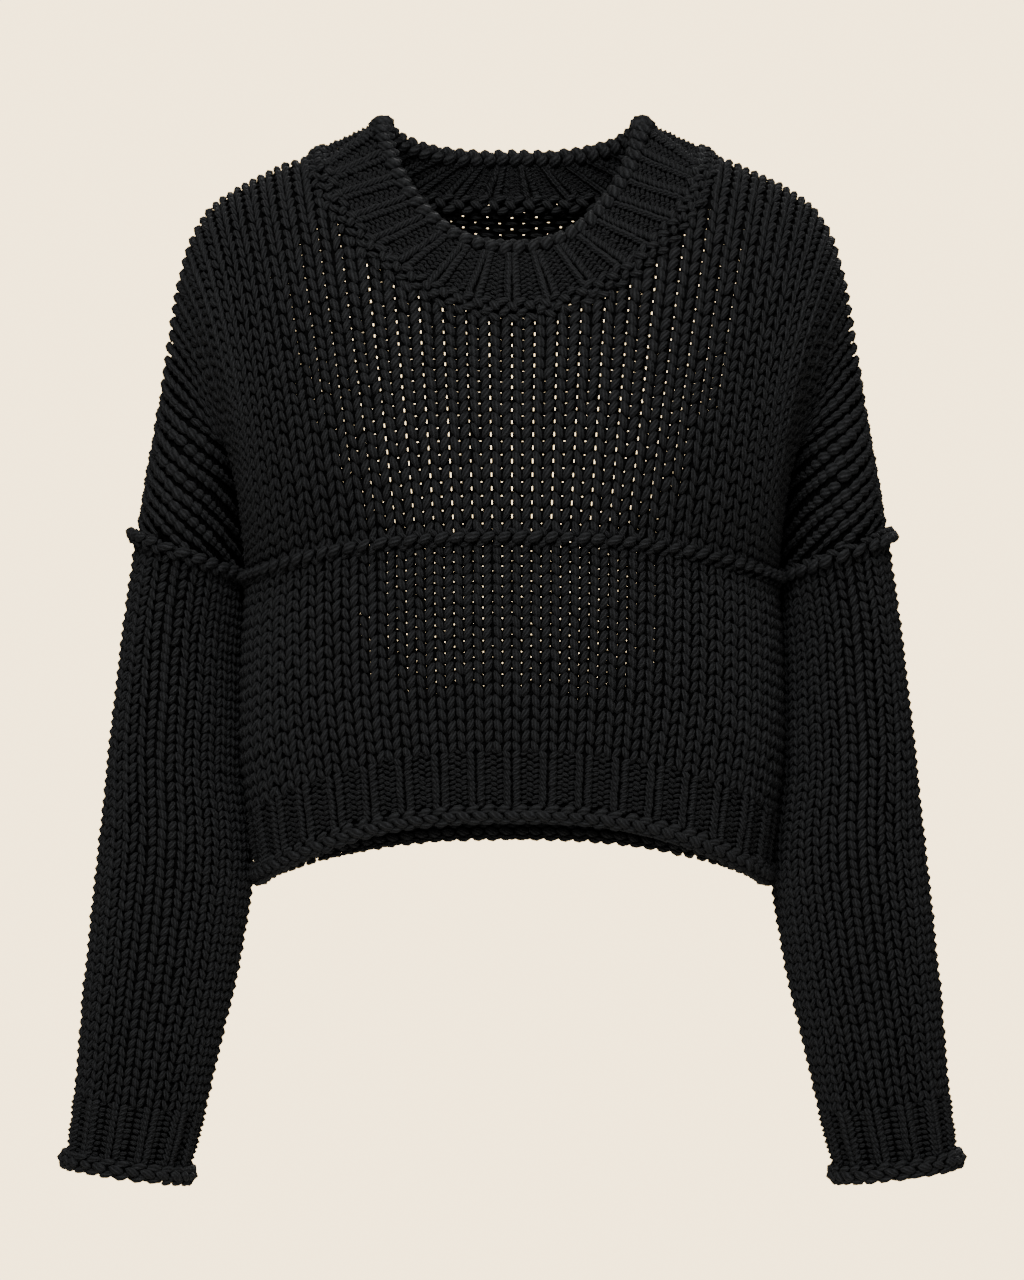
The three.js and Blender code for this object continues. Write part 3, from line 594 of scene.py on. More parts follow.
class Strands:
    """Short closed lengths of yarn, gathered into one piece."""

    def __init__(self):
        self.points = []
        self.turns = np.random.default_rng(SEED)

    def add(self, paths, normals, half_width, half_height):
        """paths is (n, 5, 3) in metres from tip to tip. The widths are in millimetres at the
        middle, or one for each strand."""
        along = unit(np.gradient(paths, axis=1))
        across = unit(np.cross(along, normals))
        out = np.cross(across, along)
        angles = STRAND_START + 2 * math.pi * np.arange(STRAND_SIDES) / STRAND_SIDES
        swell = np.array(STRAND_SWELL)[None, :, None, None]
        sizes = (np.broadcast_to(size, (len(paths),)) for size in (half_width, half_height))
        width, height = (size[:, None, None, None] * MM * swell for size in sizes)
        ring = slice(1, 1 + STRAND_RINGS)
        rings = paths[:, ring, None] + across[:, ring, None] * np.cos(angles)[:, None] * width
        rings = rings + out[:, ring, None] * np.sin(angles)[:, None] * height
        flat = rings.reshape(len(paths), -1, 3)
        self.points.append(np.concatenate([paths[:, :1], flat, paths[:, -1:]], axis=1))

    def make(self, name, slot):
        points = np.concatenate(self.points)
        triangles, quads, triangle_uvs, quad_uvs = strand_faces()
        firsts = (np.arange(len(points)) * points.shape[1])[:, None, None]
        faces = [(firsts + triangles).reshape(-1, 3), (firsts + quads).reshape(-1, 4)]
        uvs = np.concatenate([np.tile(kept, (len(points), 1)) for kept in (triangle_uvs, quad_uvs)])
        return add_mesh(name, points.reshape(-1, 3), faces, uvs, material("yarn"))


# ---------------------------------------------------------------- stitches

# Right leg of each kind of stitch: places across in wales and up in rows, and the yarn's
# height above the mid-surface in millimetres. The left leg mirrors it.
PLAIN_LEG = {
    "across": (0.07, 0.145, 0.25, 0.34, 0.375),
    "up": (-0.3, -0.01, 0.42, 0.85, 1.13),
    "lift": (-0.7, 1.5, 2.5, 1.4, -1.0),
    "half_width": 2.8,
    "half_height": 2.0,
}
ROPE_LEG = {
    "across": (0.07, 0.15, 0.27, 0.39, 0.47),
    "up": (-0.34, -0.08, 0.35, 0.78, 1.04),
    "lift": (-0.4, 2.0, 3.2, 2.0, -0.5),
    "half_width": 2.25,
    "half_height": 1.8,
}
PURL_LEG = {
    "across": (0.01, 0.12, 0.29, 0.47, 0.6),
    "up": (0.62, 0.55, 0.4, 0.2, 0.0),
    "lift": (0.1, 0.9, 1.2, 0.8, -0.2),
    "half_width": 1.55,
    "half_height": 1.4,
}
# On the back's inside, where it shows through the neck
PURL_INSIDE = {
    "across": (-0.32, -0.2, 0, 0.2, 0.32),
    "up": (-0.06, 0.0, 0.04, 0.0, -0.06),
    "lift": (0.2, 1.5, 2.0, 1.5, 0.2),
    "half_width": 1.35,
    "half_height": 1.3,
}
# Columns of small bumps that fill a wide purl gap, across from its middle in wales, with the
# side that each bump's outer end is on and the rows that it starts above the row
PURL_MESH = ((-0.33, 1, 0.0), (0.0, -1, 0.5), (0.33, 1, 0.0))
MESH_BUMP = {
    "across": (-0.22, -0.14, 0, 0.14, 0.22),
    "up": (0.2, 0.35, 0.55, 0.75, 0.9),
    "lift": (-0.2, 0.9, 1.3, 0.9, -0.2),
    "half_width": 1.35,
    "half_height": 1.2,
}
WOBBLE = {"across": 0.018, "up": 0.05, "lift": 0.22, "width": 0.07}
WALE_LIMITS = (0.45, 1.35)  # of the plain width, within which the yarn grows with its wale
PAST_LAST_ROW = 0.25  # rows by which a leg may run past its piece


def add_legs(strands, knitted, wales, rows, leg, inside=False, pitch=1.0, sides=(-1, 1),
             spread=1.0, girth=1.0):
    """Both legs of the stitches whose columns are centred on wales and start at rows. pitch is
    how many of the net's rows a stitch takes up, spread is how far its legs splay, and girth
    is the yarn's share of its plain thickness."""
    draws = strands.turns
    count = len(wales)
    if count == 0:
        return
    pitch = np.broadcast_to(pitch, (count,))
    middle = rows + 0.5 * pitch
    left, right = (knitted.at(wales + half, middle)[0] for half in (-0.5, 0.5))
    local = np.linalg.norm(right - left, axis=1) / (GAUGE_WALE * MM)
    local = np.clip(local, *WALE_LIMITS) if leg is PLAIN_LEG else np.ones(count)
    reach = np.array(leg["across"])
    for side in sides:
        sway = draws.normal(0, WOBBLE["across"], (count, 1))
        slip = draws.normal(0, WOBBLE["up"], (count, 1))
        rise = draws.normal(0, WOBBLE["lift"], (count, 1))
        scale = local * girth * (1 + draws.normal(0, WOBBLE["width"], count))
        across = wales[:, None] + side * (reach[2] + (reach - reach[2]) * spread) + sway
        up = rows[:, None] + (np.array(leg["up"]) + slip) * pitch[:, None]
        up = np.minimum(up, knitted.last_row() + PAST_LAST_ROW)
        lift = (np.array(leg["lift"]) + rise) * MM
        points, normals = knitted.at(across, up, -lift if inside else lift)
        if inside:
            normals = -normals
        strands.add(points, normals, leg["half_width"] * scale, leg["half_height"] * np.sqrt(scale))


def grid(wales, rows):
    """Every pair of those wales and rows, as two flat arrays."""
    across, up = np.meshgrid(np.asarray(wales, float), np.asarray(rows, float), indexing="ij")
    return across.ravel(), up.ravel()


def neck_rows(facing, wales):
    """The row at which the neckline cuts each column of a yoke, or the last row beyond it."""
    rows = steps(0, YOKE_ROWS, NECK_ROW_STEP)
    points = net(f"{facing}_yoke").at(wales[..., None], rows)[0] / MM
    cut = YOKE_ROWS - inside_neck(points, facing).sum(axis=-1) * NECK_ROW_STEP
    return np.where(np.abs(wales) < NECK_WALES, cut, YOKE_ROWS)


def add_rib(strands, knitted, wale_count, first_knit, rows, inside=False, span=None, mesh=True):
    """Knit-one purl-one rib: paired ropes with small bumps between them, in a mesh where the
    gap between the ropes is stretched wide."""
    low, high = span or (first_knit, first_knit + wale_count)
    wales = np.arange(first_knit, first_knit + wale_count + 1e-6, 1.0)
    wales = wales[(wales >= low - 1e-6) & (wales <= high + 1e-6)]
    knit = (np.arange(len(wales)) + int(round(wales[0] - first_knit))) % 2 == 0
    across, up = grid(wales[knit], np.arange(rows))
    add_legs(strands, knitted, across, up, ROPE_LEG, inside)
    across, up = grid(wales[~knit], np.arange(rows))
    if not mesh:
        add_legs(strands, knitted, across, up, PURL_LEG, inside)
        return
    for shift, side, start in PURL_MESH:
        add_legs(strands, knitted, across + shift, up + start, MESH_BUMP, inside, sides=(side,))


# ---------------------------------------------------------------- backing


BACKING_LIFT = 0.2  # of its outer face above the mid-surface, in millimetres
BACKING_THICK = 1.4


def backing(name, slot, wale_lines, row_lines, open_cells=None):
    """A thin closed shell on a piece's net, standing in for the knitting's reverse and near-black as
    painted shade of its depth. wale_lines and row_lines are (i, j) arrays of places, and
    open_cells marks the quads that are left out as pinholes."""
    knitted = net(name)
    outer = knitted.at(wale_lines, row_lines, BACKING_LIFT * MM)[0]
    inner = knitted.at(wale_lines, row_lines, (BACKING_LIFT - BACKING_THICK) * MM)[0]
    across, along = wale_lines.shape
    numbers = np.arange(across * along).reshape(across, along)
    corners = [numbers[:-1, :-1], numbers[1:, :-1], numbers[1:, 1:], numbers[:-1, 1:]]
    quads = np.stack(corners, -1).reshape(-1, 4)
    flat = outer.reshape(-1, 3)
    first = np.linalg.norm(flat[quads[:, 0]] - flat[quads[:, 3]], axis=1)
    second = np.linalg.norm(flat[quads[:, 1]] - flat[quads[:, 2]], axis=1)
    kept = (first + second) > 1e-7
    if open_cells is not None:
        kept &= ~open_cells.ravel()
    quads = quads[kept]
    edges = np.concatenate([quads[:, [k, (k + 1) % 4]] for k in range(4)])
    keys = np.sort(edges, axis=1)
    codes = keys[:, 0] * (across * along) + keys[:, 1]
    _, where, uses = np.unique(codes, return_index=True, return_counts=True)
    rim = edges[where[uses == 1]]
    total = across * along
    if knitted.round_tube:
        last, start = numbers[-1], numbers[0]
        joined = np.arange(2 * total)
        joined[last], joined[last + total] = start, start + total
        seam = np.isin(rim, np.concatenate([last, start])).all(axis=1)
        rim = rim[~seam]
    walls = np.stack([rim[:, 1], rim[:, 0], rim[:, 0] + total, rim[:, 1] + total], -1)
    faces = np.concatenate([quads, quads[:, ::-1] + total, walls])
    places = np.stack([wale_lines.ravel(), row_lines.ravel()], -1)
    uvs = np.concatenate([places, places])[faces.ravel()]
    if knitted.round_tube:
        faces = joined[faces]
    points = np.concatenate([flat, inner.reshape(-1, 3)])
    used, numbered = np.unique(faces, return_inverse=True)
    faces = [numbered.reshape(faces.shape)]
    made = add_mesh(f"{name}_backing", points[used], faces, uvs, material("backing"))
    face_out(made, knitted)
    return made


def face_out(made, knitted):
    """Turns a shell's faces outward if its net ran the other way."""
    mesh = made.data
    polygon = mesh.polygons[0]
    wale, row = mesh.uv_layers[0].data[polygon.loop_start].uv
    outward = knitted.at(wale, row)[1]
    if Vector(outward).dot(polygon.normal) < 0:
        mesh.flip_normals()


def plain_lines(low_wale, high_wale, rows):
    wales = np.arange(low_wale, high_wale + 0.5)
    return np.broadcast_arrays(wales[:, None], np.arange(rows + 1.0)[None, :])


# Pinholes in each cell of the knitting: an upright slit between two columns and a level one
# between the legs of a stitch, half a row higher. Places are in wales and rows.
SLIT_UP = 0.27
SLIT_LEVEL = 0.74
LEAST_OPEN = 0.05  # openness that the lines of a shut pinhole are spaced for
SHUT = 0.08  # openness up to which a pinhole is left shut
NECKLINE_MARGIN = 0.1  # rows between a pinhole and the neckline
NAPE_SQUASH = 0.6  # how much lower the slits are where the back shows through the neck


def pinhole_lines(last_wale, rows, near_wale, near_rows, sizes, neckline=None):
    """Lines of a backing that make room for pinholes, as (i, j) places, and which quads are
    open. sizes(wales, rows) gives how open the knitting is there, from 0 to 1, and neckline is
    the side of the neck that is cut out of it, if any."""
    wale_kinds, row_kinds = [], []
    for wale in np.arange(-last_wale, last_wale + 0.5):
        if abs(wale) > near_wale:
            wale_kinds.append((wale, "", 0))
            continue
        wale_kinds += [(wale, "slit", -1), (wale, "slit", 1)]
        if wale < min(near_wale, last_wale):
            wale_kinds += [(wale + 0.5, "level", -1), (wale + 0.5, "level", 1)]
    for row in range(rows + 1):
        if row == near_rows[0] or row not in range(*near_rows):
            row_kinds.append((row, "", 0))
        if row in range(*near_rows):
            row_kinds += [(row + SLIT_UP, "slit", -1), (row + SLIT_UP, "slit", 1)]
            row_kinds += [(row + SLIT_LEVEL, "level", -1), (row + SLIT_LEVEL, "level", 1)]
    wale_at, wale_kind, wale_sense = (np.array(kept) for kept in zip(*wale_kinds))
    row_at, row_kind, row_sense = (np.array(kept) for kept in zip(*row_kinds))
    holes_across = np.round(wale_at * 2).astype(int)
    holes_across -= holes_across.min()
    holes_up = np.floor(row_at).astype(int)
    draws = np.random.default_rng(SEED)
    columns = draws.uniform(*sizes.vary, holes_across.max() + 1)
    each = draws.uniform(*sizes.vary, (holes_across.max() + 1, holes_up.max() + 1))
    size = sizes(wale_at[:, None], row_at[None, :]) * columns[holes_across][:, None]
    size = size * each[holes_across[:, None], holes_up[None, :]]
    half_across = np.where(wale_kind[:, None] == "slit", sizes.slit[0], sizes.level[0])
    on_slit = row_kind[None, :] == "slit"
    half_up = np.where(on_slit, sizes.slit[1], sizes.level[1])
    if sizes.round_at_nape:
        squash = 1 - NAPE_SQUASH * above_neckline(np.abs(wale_at[:, None]), row_at[None, :])
        half_up = np.where(on_slit, half_up * squash, half_up)
    shrink = np.sqrt(np.maximum(size, LEAST_OPEN))
    wales = wale_at[:, None] + wale_sense[:, None] * half_across * shrink
    lines = row_at[None, :] + row_sense[None, :] * half_up * shrink
    pair = np.zeros((len(wale_at) - 1, len(row_at) - 1), bool)
    for kind in ("slit", "level"):
        across = (wale_kind[:-1] == kind) & (wale_at[:-1] == wale_at[1:])
        up = (row_kind[:-1] == kind) & (row_at[:-1] == row_at[1:])
        pair |= across[:, None] & up[None, :]
    open_cells = pair & (size[:-1, :-1] > SHUT)
    if neckline:
        limit = neck_rows(neckline, wales)
        below = lines < limit - NECKLINE_MARGIN
        open_cells &= below[1:, 1:] & below[:-1, 1:]
        lines = np.minimum(lines, limit)
    return wales, lines, open_cells


class Openness:
    """How open the knitting is at a place, the half sizes of its two slits in wales and rows,
    and how much the sizes vary."""

    def __init__(self, spread, slit, level, vary, round_at_nape=False):
        self.spread = spread
        self.round_at_nape = round_at_nape
        self.slit = slit
        self.level = level
        self.vary = vary

    def __call__(self, wales, rows):
        return self.spread(np.abs(wales), rows) + 0 * (wales + rows)


SHOULDER_OPENNESS = 0.4
WAIST_OPENNESS = 0.55
NAPE_CLOSING = 0.7  # share by which the back's pinholes close where they show through the neck


def above_neckline(wales, rows):
    """1 where the back shows through the neck, above the front's neckline."""
    return smooth(-1, 0.5, rows - neck_rows("front", wales))


def chest_spread(wales, rows):
    """Widest over the middle of the chest, closing towards the sides and the armholes."""
    middle = smooth(11, 4, wales) * smooth(-2, 3, rows)
    shoulder = smooth(13, 9, wales) * smooth(7, 14, rows) * smooth(YOKE_ROWS, 30, rows)
    return np.maximum(middle, shoulder * SHOULDER_OPENNESS)


def nape_spread(wales, rows):
    """As the chest, and smaller where the back shows through the neck."""
    return chest_spread(wales, rows) * (1 - NAPE_CLOSING * above_neckline(wales, rows))


def waist_spread(wales, rows):
    """Just below the chest seam only."""
    return WAIST_OPENNESS * smooth(12, 6, wales) * smooth(PANEL_ROWS - 17, PANEL_ROWS - 10, rows)


# Half sizes of the front's pinholes in wales and rows, and between what shares they vary. The
# back's are larger, as they are seen through the front's, and all alike.
YOKE_SLIT = (0.028, 0.155)
YOKE_LEVEL = (0.042, 0.048)
YOKE_VARY = (0.55, 1.2)
PANEL_PINHOLE = (0.038, 0.075)
PANEL_VARY = (0.3, 1.2)
BACK_PINHOLE = 2.8


def openness(facing, spread, slit, level, vary, round_at_nape=False):
    """The openness of the front's or the back's knitting."""
    if facing == "front":
        return Openness(spread, slit, level, vary)
    slit, level = (tuple(size * BACK_PINHOLE for size in kept) for kept in (slit, level))
    return Openness(spread, slit, level, (1, 1), round_at_nape)


# ---------------------------------------------------------------- chains and rolled edges


class Line:
    """A line that a chain follows: points, outward directions and, across both, its side."""

    def __init__(self, points, out, closed=False):
        self.points = points
        self.lengths = lengths_along(points)
        self.closed = closed
        along = unit(np.gradient(points, axis=0))
        if closed:
            ends = unit(points[1] - points[-2])
            along[0], along[-1] = ends, ends
        self.along = along
        self.across = unit(np.cross(out, along))
        self.out = unit(np.cross(along, self.across))

    def at(self, places):
        """(point, along, across, out) at lengths from the start, in metres."""
        total = self.lengths[-1]
        places = places % total if self.closed else np.clip(places, 0, total)

        def read(kept):
            return np.stack([np.interp(places, self.lengths, kept[:, axis]) for axis in range(3)], -1)

        ways = (unit(read(kept)) for kept in (self.along, self.across, self.out))
        return read(self.points), *ways


def row_line(knitted, wales, row, lift, inside=False, closed=False):
    """A line along a row of a net, raised by lift in millimetres."""
    point, out = knitted.at(wales, 0 * wales + row, lift * MM)
    return Line(point, -out if inside else out, closed)


KNOB_LENGTH = 0.009  # how far from the middle of a knob its links are larger, in metres
LINK_WOBBLE = {"place": 0.04, "slant": 5, "length": 0.06, "width": 0.06}
LINK_SHARES = (-1, -0.62, 0, 0.62, 1)  # places along a link, as shares of its half length
LINK_SAG = (-0.9, -0.35, 0, -0.35, -0.9)  # millimetres
LINK_FLATNESS = 0.92  # height of a link's yarn as a share of its width
CHAIN_MARGIN = 0.1  # share of a link that stays free at an open chain's ends


def add_links(strands, line, count, rows, knobs=(), growth=0.0):
    """count links of each row along a line, larger by that growth round its knobs, which are
    lengths along it as shares of its own. A row gives its height across the line, how far it
    stands out, its start as a share of a link, its slant in degrees, its half length and half
    width, all sizes in millimetres."""
    draws = strands.turns
    pitch = line.lengths[-1] / count
    for height, stand, start, slant, half_length, half_width in rows:
        shift = draws.normal(0, LINK_WOBBLE["place"], count)
        places = (np.arange(count) + 0.5 + start + shift) * pitch
        if not line.closed:
            margin = CHAIN_MARGIN * pitch
            places = places[(places > margin) & (places < line.lengths[-1] - margin)]
        point, along, across, out = line.at(places)
        grown = np.ones(len(places))
        for knob in knobs:
            away = (places - knob * line.lengths[-1]) / KNOB_LENGTH
            grown = grown + growth * np.exp(-(away**2))
        lean = np.radians(slant + draws.normal(0, LINK_WOBBLE["slant"], len(places)))[:, None]
        direction = along * np.cos(lean) + across * np.sin(lean)
        away = math.hypot(height, stand)
        facing = unit(across * height + out * stand) if away > 1e-6 else out
        centre = point + (across * height + out * stand) * MM * grown[:, None]
        share = np.array(LINK_SHARES)[None, :, None]
        sag = np.array(LINK_SAG)[None, :, None] * MM
        reach = half_length * MM * grown * (1 + draws.normal(0, LINK_WOBBLE["length"], len(places)))
        paths = centre[:, None] + direction[:, None] * share * reach[:, None, None]
        paths = paths + facing[:, None] * sag
        scale = grown * (1 + draws.normal(0, LINK_WOBBLE["width"], len(places)))
        normals = np.repeat(facing[:, None], STRAND_POINTS, axis=1)
        strands.add(paths, normals, half_width * scale, half_width * LINK_FLATNESS * scale)


# A knob's lengths of yarn: their slants in degrees, and as shares of half its length their
# places from tip to tip, how far those stand out, and their half width and height
KNOB_SLANTS = (-70, -20, 30, 80)
KNOB_SHARES = (-0.86, -0.56, 0, 0.56, 0.86)
KNOB_LIFTS = (-0.3, 0.1, 0.25, 0.1, -0.3)
KNOB_GIRTH = (0.72, 0.66)


def add_knobs(strands, line, places, size):
    """Knobs of wound yarn at places along a line, as shares of its length. The size is half a
    knob's length in millimetres."""
    for place in places:
        point, along, across, out = line.at(np.full(len(KNOB_SLANTS), place * line.lengths[-1]))
        slant = np.radians(KNOB_SLANTS)[:, None]
        direction = along * np.cos(slant) + across * np.sin(slant)
        share = np.array(KNOB_SHARES)[None, :, None]
        lift = np.array(KNOB_LIFTS)[None, :, None]
        paths = point[:, None] + (direction[:, None] * share + out[:, None] * lift) * size * MM
        normals = np.repeat(out[:, None], STRAND_POINTS, axis=1)
        strands.add(paths, normals, size * KNOB_GIRTH[0], size * KNOB_GIRTH[1])


CORE_SIDES = 8
CORE_RINGS = 12  # at least
CORE_STEP = 0.006  # metres from one ring to the next
CORE_PLACES = 100  # places on the knitting to a metre


def core(name, line, radius):
    """A round core inside a rolled edge, which the links lie on, near-black as painted shade of the
    roll's inside.
    """
    sides = CORE_SIDES
    places = np.linspace(0, line.lengths[-1], max(CORE_RINGS, int(line.lengths[-1] / CORE_STEP)))
    point, _, across, out = line.at(places)
    angles = 2 * math.pi * np.arange(sides) / sides
    ring = across[:, None] * np.cos(angles)[:, None] + out[:, None] * np.sin(angles)[:, None]
    rings = point[:, None] + ring * radius * MM
    count = len(places)
    numbers = np.arange(count * sides).reshape(count, sides)
    if line.closed:
        numbers[-1] = numbers[0]
    low, high = numbers[:-1], numbers[1:]
    quads = np.stack([low, np.roll(low, -1, 1), np.roll(high, -1, 1), high], -1).reshape(-1, 4)
    faces = [quads]
    if not line.closed:
        faces.append(np.stack([numbers[0][::-1], numbers[-1]]))
    points = rings.reshape(-1, 3)
    if line.closed:
        points = points[: -sides]
    corners = np.concatenate([kept.ravel() for kept in faces])
    uvs = points[corners][:, [0, 2]] * CORE_PLACES
    return add_mesh(name, points, faces, uvs, material("backing"))


# ---------------------------------------------------------------- materials


PLY_RELIEF = 0.35  # shares of the plies and of the loose fibres in the yarn's relief
FIBRE_RELIEF = 1.2
YARN_SHADE_SPAN = {"From Min": -0.5, "From Max": 0.9}  # heights from the painted shade between the plies to the painted highlight on them
YARN_DEPTH = 0.0009  # metres
YARN_FINISH = {"Roughness": 0.65, "Specular IOR Level": 0.2, "Sheen Roughness": 0.45}
FIBRES = {"Detail": 3, "Roughness": 0.65}
# Heights from the backing's painted shade to its painted highlight
BACKING_SHADE_SPAN = {"From Min": -1, "From Max": 1}
BACKING_BUMP = {"Strength": 0.8, "Distance": 0.002}
BACKING_FINISH = {"Roughness": 0.95, "Specular IOR Level": 0.1}
BACKING_BUMP_HIGHLIGHT = 3  # how much lighter its bumps' tops are painted than the rest, as painted highlight


def set_inputs(node, values):
    for name, value in values.items():
        node.inputs[name].default_value = value


class Shading:
    """A material's nodes, with places on the yarn or the knitting: across it and along it."""

    def __init__(self, name):
        self.material = bpy.data.materials.new(name)
        self.material.use_nodes = True
        self.nodes = self.material.node_tree.nodes
        self.links = self.material.node_tree.links
        self.shader = self.nodes["Principled BSDF"]

    def places(self):
        """(places, across, along) from the mesh's own map."""
        place = self.nodes.new("ShaderNodeUVMap")
        place.uv_map = "OFBake"
        split = self.nodes.new("ShaderNodeSeparateXYZ")
        self.links.new(place.outputs["UV"], split.inputs[0])
        return place.outputs["UV"], split.outputs["X"], split.outputs["Y"]

    def math(self, operation, first, second=None):
        node = self.nodes.new("ShaderNodeMath")
        node.operation = operation
        for socket, value in zip(node.inputs, (first, second)):
            if isinstance(value, (int, float)):
                socket.default_value = value
            elif value is not None:
                self.links.new(value, socket)
        return node.outputs[0]

    def relief(self, height, span, dark, light, bump_values, finish):
        """Paints the surface darker where it is low and lighter where it is high, as painted shade
        and painted highlight, and raises it.
        """
        shade = self.nodes.new("ShaderNodeMapRange")
        set_inputs(shade, span)
        self.links.new(height, shade.inputs["Value"])
        colour = self.nodes.new("ShaderNodeMix")
        colour.data_type = "RGBA"
        set_inputs(colour, {"A": (*dark, 1), "B": (*light, 1)})
        self.links.new(shade.outputs["Result"], colour.inputs["Factor"])
        self.links.new(colour.outputs["Result"], self.shader.inputs["Base Color"])
        bump = self.nodes.new("ShaderNodeBump")
        set_inputs(bump, bump_values)
        self.links.new(height, bump.inputs["Height"])
        self.links.new(bump.outputs["Normal"], self.shader.inputs["Normal"])
        set_inputs(self.shader, finish)
        return self.material


def yarn_material(name, dark, light):
    """Matt plied yarn: fine plies that wind round it, and loose fibres. Its colour is painted shade
    in the grooves between the plies and painted highlight on their crests, varied by the fibres'
    noise.
    """
    looks = bpy.context.scene.sweater_yarn
    made = Shading(name)
    place, across, along = made.places()
    across = made.math("MULTIPLY", across, float(looks.plies))
    along = made.math("MULTIPLY", along, looks.twist)
    turn = made.math("MULTIPLY", made.math("ADD", across, along), 2 * math.pi)
    plies = made.math("MULTIPLY", made.math("SINE", turn), PLY_RELIEF)
    noise = made.nodes.new("ShaderNodeTexNoise")
    set_inputs(noise, {"Scale": looks.fibre_scale, **FIBRES})
    made.links.new(place, noise.inputs["Vector"])
    fibres = made.math("SUBTRACT", noise.outputs["Fac"], 0.5)
    height = made.math("ADD", plies, made.math("MULTIPLY", fibres, FIBRE_RELIEF))
    bump = {"Strength": looks.ply_depth, "Distance": YARN_DEPTH}
    finish = {"Sheen Weight": looks.sheen, **YARN_FINISH}
    return made.relief(height, YARN_SHADE_SPAN, dark, light, bump, finish)


def backing_material(name, dark, light):
    """Reverse of the knitting in painted shade: near-black, with bumps in rows and columns whose tops
    are painted lighter as painted highlight.
    """
    made = Shading(name)
    waves = [
        made.math("SINE", made.math("MULTIPLY", place, 2 * math.pi)) for place in made.places()[1:]
    ]
    height = made.math("MULTIPLY", *waves)
    return made.relief(height, BACKING_SHADE_SPAN, dark, light, BACKING_BUMP, BACKING_FINISH)


def material(kind):
    """One of the sweater's materials, made once."""
    if kind in bpy.data.materials:
        return bpy.data.materials[kind]
    colours = bpy.context.scene.sweater_yarn
    # The backing's colours are painted shade: near-black, a little lighter on its bumps
    if kind == "backing":
        dark = tuple(colours.shadow_colour)
        return backing_material(kind, dark, tuple(BACKING_BUMP_HIGHLIGHT * value for value in dark))
    # The yarn's colour runs from painted shade between its plies to painted highlight on them
    return yarn_material(kind, tuple(colours.groove_shade_colour), tuple(colours.ply_highlight_colour))


# ---------------------------------------------------------------- settings


class SweaterYarn(bpy.types.PropertyGroup):
    """Yarn and colours"""

    # Painted shade: the yarn's colour in the grooves between its plies
    groove_shade_colour: bpy.props.FloatVectorProperty(
        name="Dark", description="Yarn colour between its plies", subtype="COLOR",
        default=(0.0032, 0.0033, 0.0035), min=0, max=1)
    # Painted highlight: the yarn's colour on the crests of its plies
    ply_highlight_colour: bpy.props.FloatVectorProperty(
        name="Light", description="Yarn colour on its plies", subtype="COLOR",
        default=(0.037, 0.0385, 0.041), min=0, max=1)
    # Painted shade: the near-black of the backing and the cores, for the knitting's shaded depth
    shadow_colour: bpy.props.FloatVectorProperty(
        name="Backing", description="Colour of the knitting's shaded depth", subtype="COLOR",
        default=(0.001, 0.001, 0.001), min=0, max=1)
    plies: bpy.props.IntProperty(
        name="Plies", description="Plies that show round the yarn", default=6, min=1, max=12)
    twist: bpy.props.FloatProperty(
        name="Twist", description="Turns of the plies along one leg of a stitch", default=1.6)
    ply_depth: bpy.props.FloatProperty(
        name="Ply depth", description="Strength of the plies' relief", default=0.9, min=0, max=1,
        subtype="FACTOR")
    fibre_scale: bpy.props.FloatProperty(
        name="Fibre scale", description="Fineness of the loose fibres", default=9.0, min=0.1)
    sheen: bpy.props.FloatProperty(
        name="Sheen", description="Soft light that the fibres catch", default=0.03, min=0, max=1,
        subtype="FACTOR")


class SweaterStudio(bpy.types.PropertyGroup):
    """Camera, lights and floor"""

    camera_distance: bpy.props.FloatProperty(
        name="Camera distance", description="From the camera to the middle of the sweater",
        default=4.04, min=0.5, unit="LENGTH")
    camera_height: bpy.props.FloatProperty(
        name="Camera height", description="Height of the camera and of what it looks at",
        default=-0.29375, unit="LENGTH")
    frame_height: bpy.props.FloatProperty(
        name="Frame height", description="Height that the picture takes in at the sweater",
        default=0.8, min=0.1, unit="LENGTH")
    floor_height: bpy.props.FloatProperty(
        name="Floor height", description="Floor below a wearer's shoulders",
        default=-1.42, unit="LENGTH")
    wall_colour: bpy.props.FloatVectorProperty(
        name="Backdrop", description="Pale colour behind the sweater", subtype="COLOR",
        default=(0.89, 0.685, 0.39), min=0, max=1)
    floor_colour: bpy.props.FloatVectorProperty(
        name="Floor", description="Pale floor below the sweater", subtype="COLOR",
        default=(0.72, 0.7, 0.66), min=0, max=1)
    key_power: bpy.props.FloatProperty(
        name="Key light", description="Large soft light in front of and above the sweater",
        default=90.0, min=0, unit="POWER")
    top_power: bpy.props.FloatProperty(
        name="Top light", description="Soft light from above, on the shoulders", default=26.0,
        min=0, unit="POWER")
    rear_power: bpy.props.FloatProperty(
        name="Rear light", description="Large soft light behind and above the sweater",
        default=50.0, min=0, unit="POWER")
    fill_power: bpy.props.FloatProperty(
        name="Fill light", description="Soft light from low in front", default=6.0, min=0,
        unit="POWER")


# ---------------------------------------------------------------- pieces


def declare_sheet(knitted, neckline=None):
    """Works out a piece's width and the areas of its cells from its net laid flat, and keeps neither.
    neckline is the side of the neck that is cut out of it, if any."""
    points = knitted.points
    width = lengths_along(points.transpose(1, 0, 2))[:, -1].max()
    across = np.diff(points, axis=0)[:, :-1]
    along = np.diff(points, axis=1)[:-1]
    cells = np.linalg.norm(np.cross(across, along), axis=-1)
    if neckline:
        wales = knitted.first_wale + NET_WALE * np.arange(cells.shape[0])
        rows = NET_ROW * np.arange(cells.shape[1])
        cells = cells * (rows[None, :] < neck_rows(neckline, wales)[:, None])


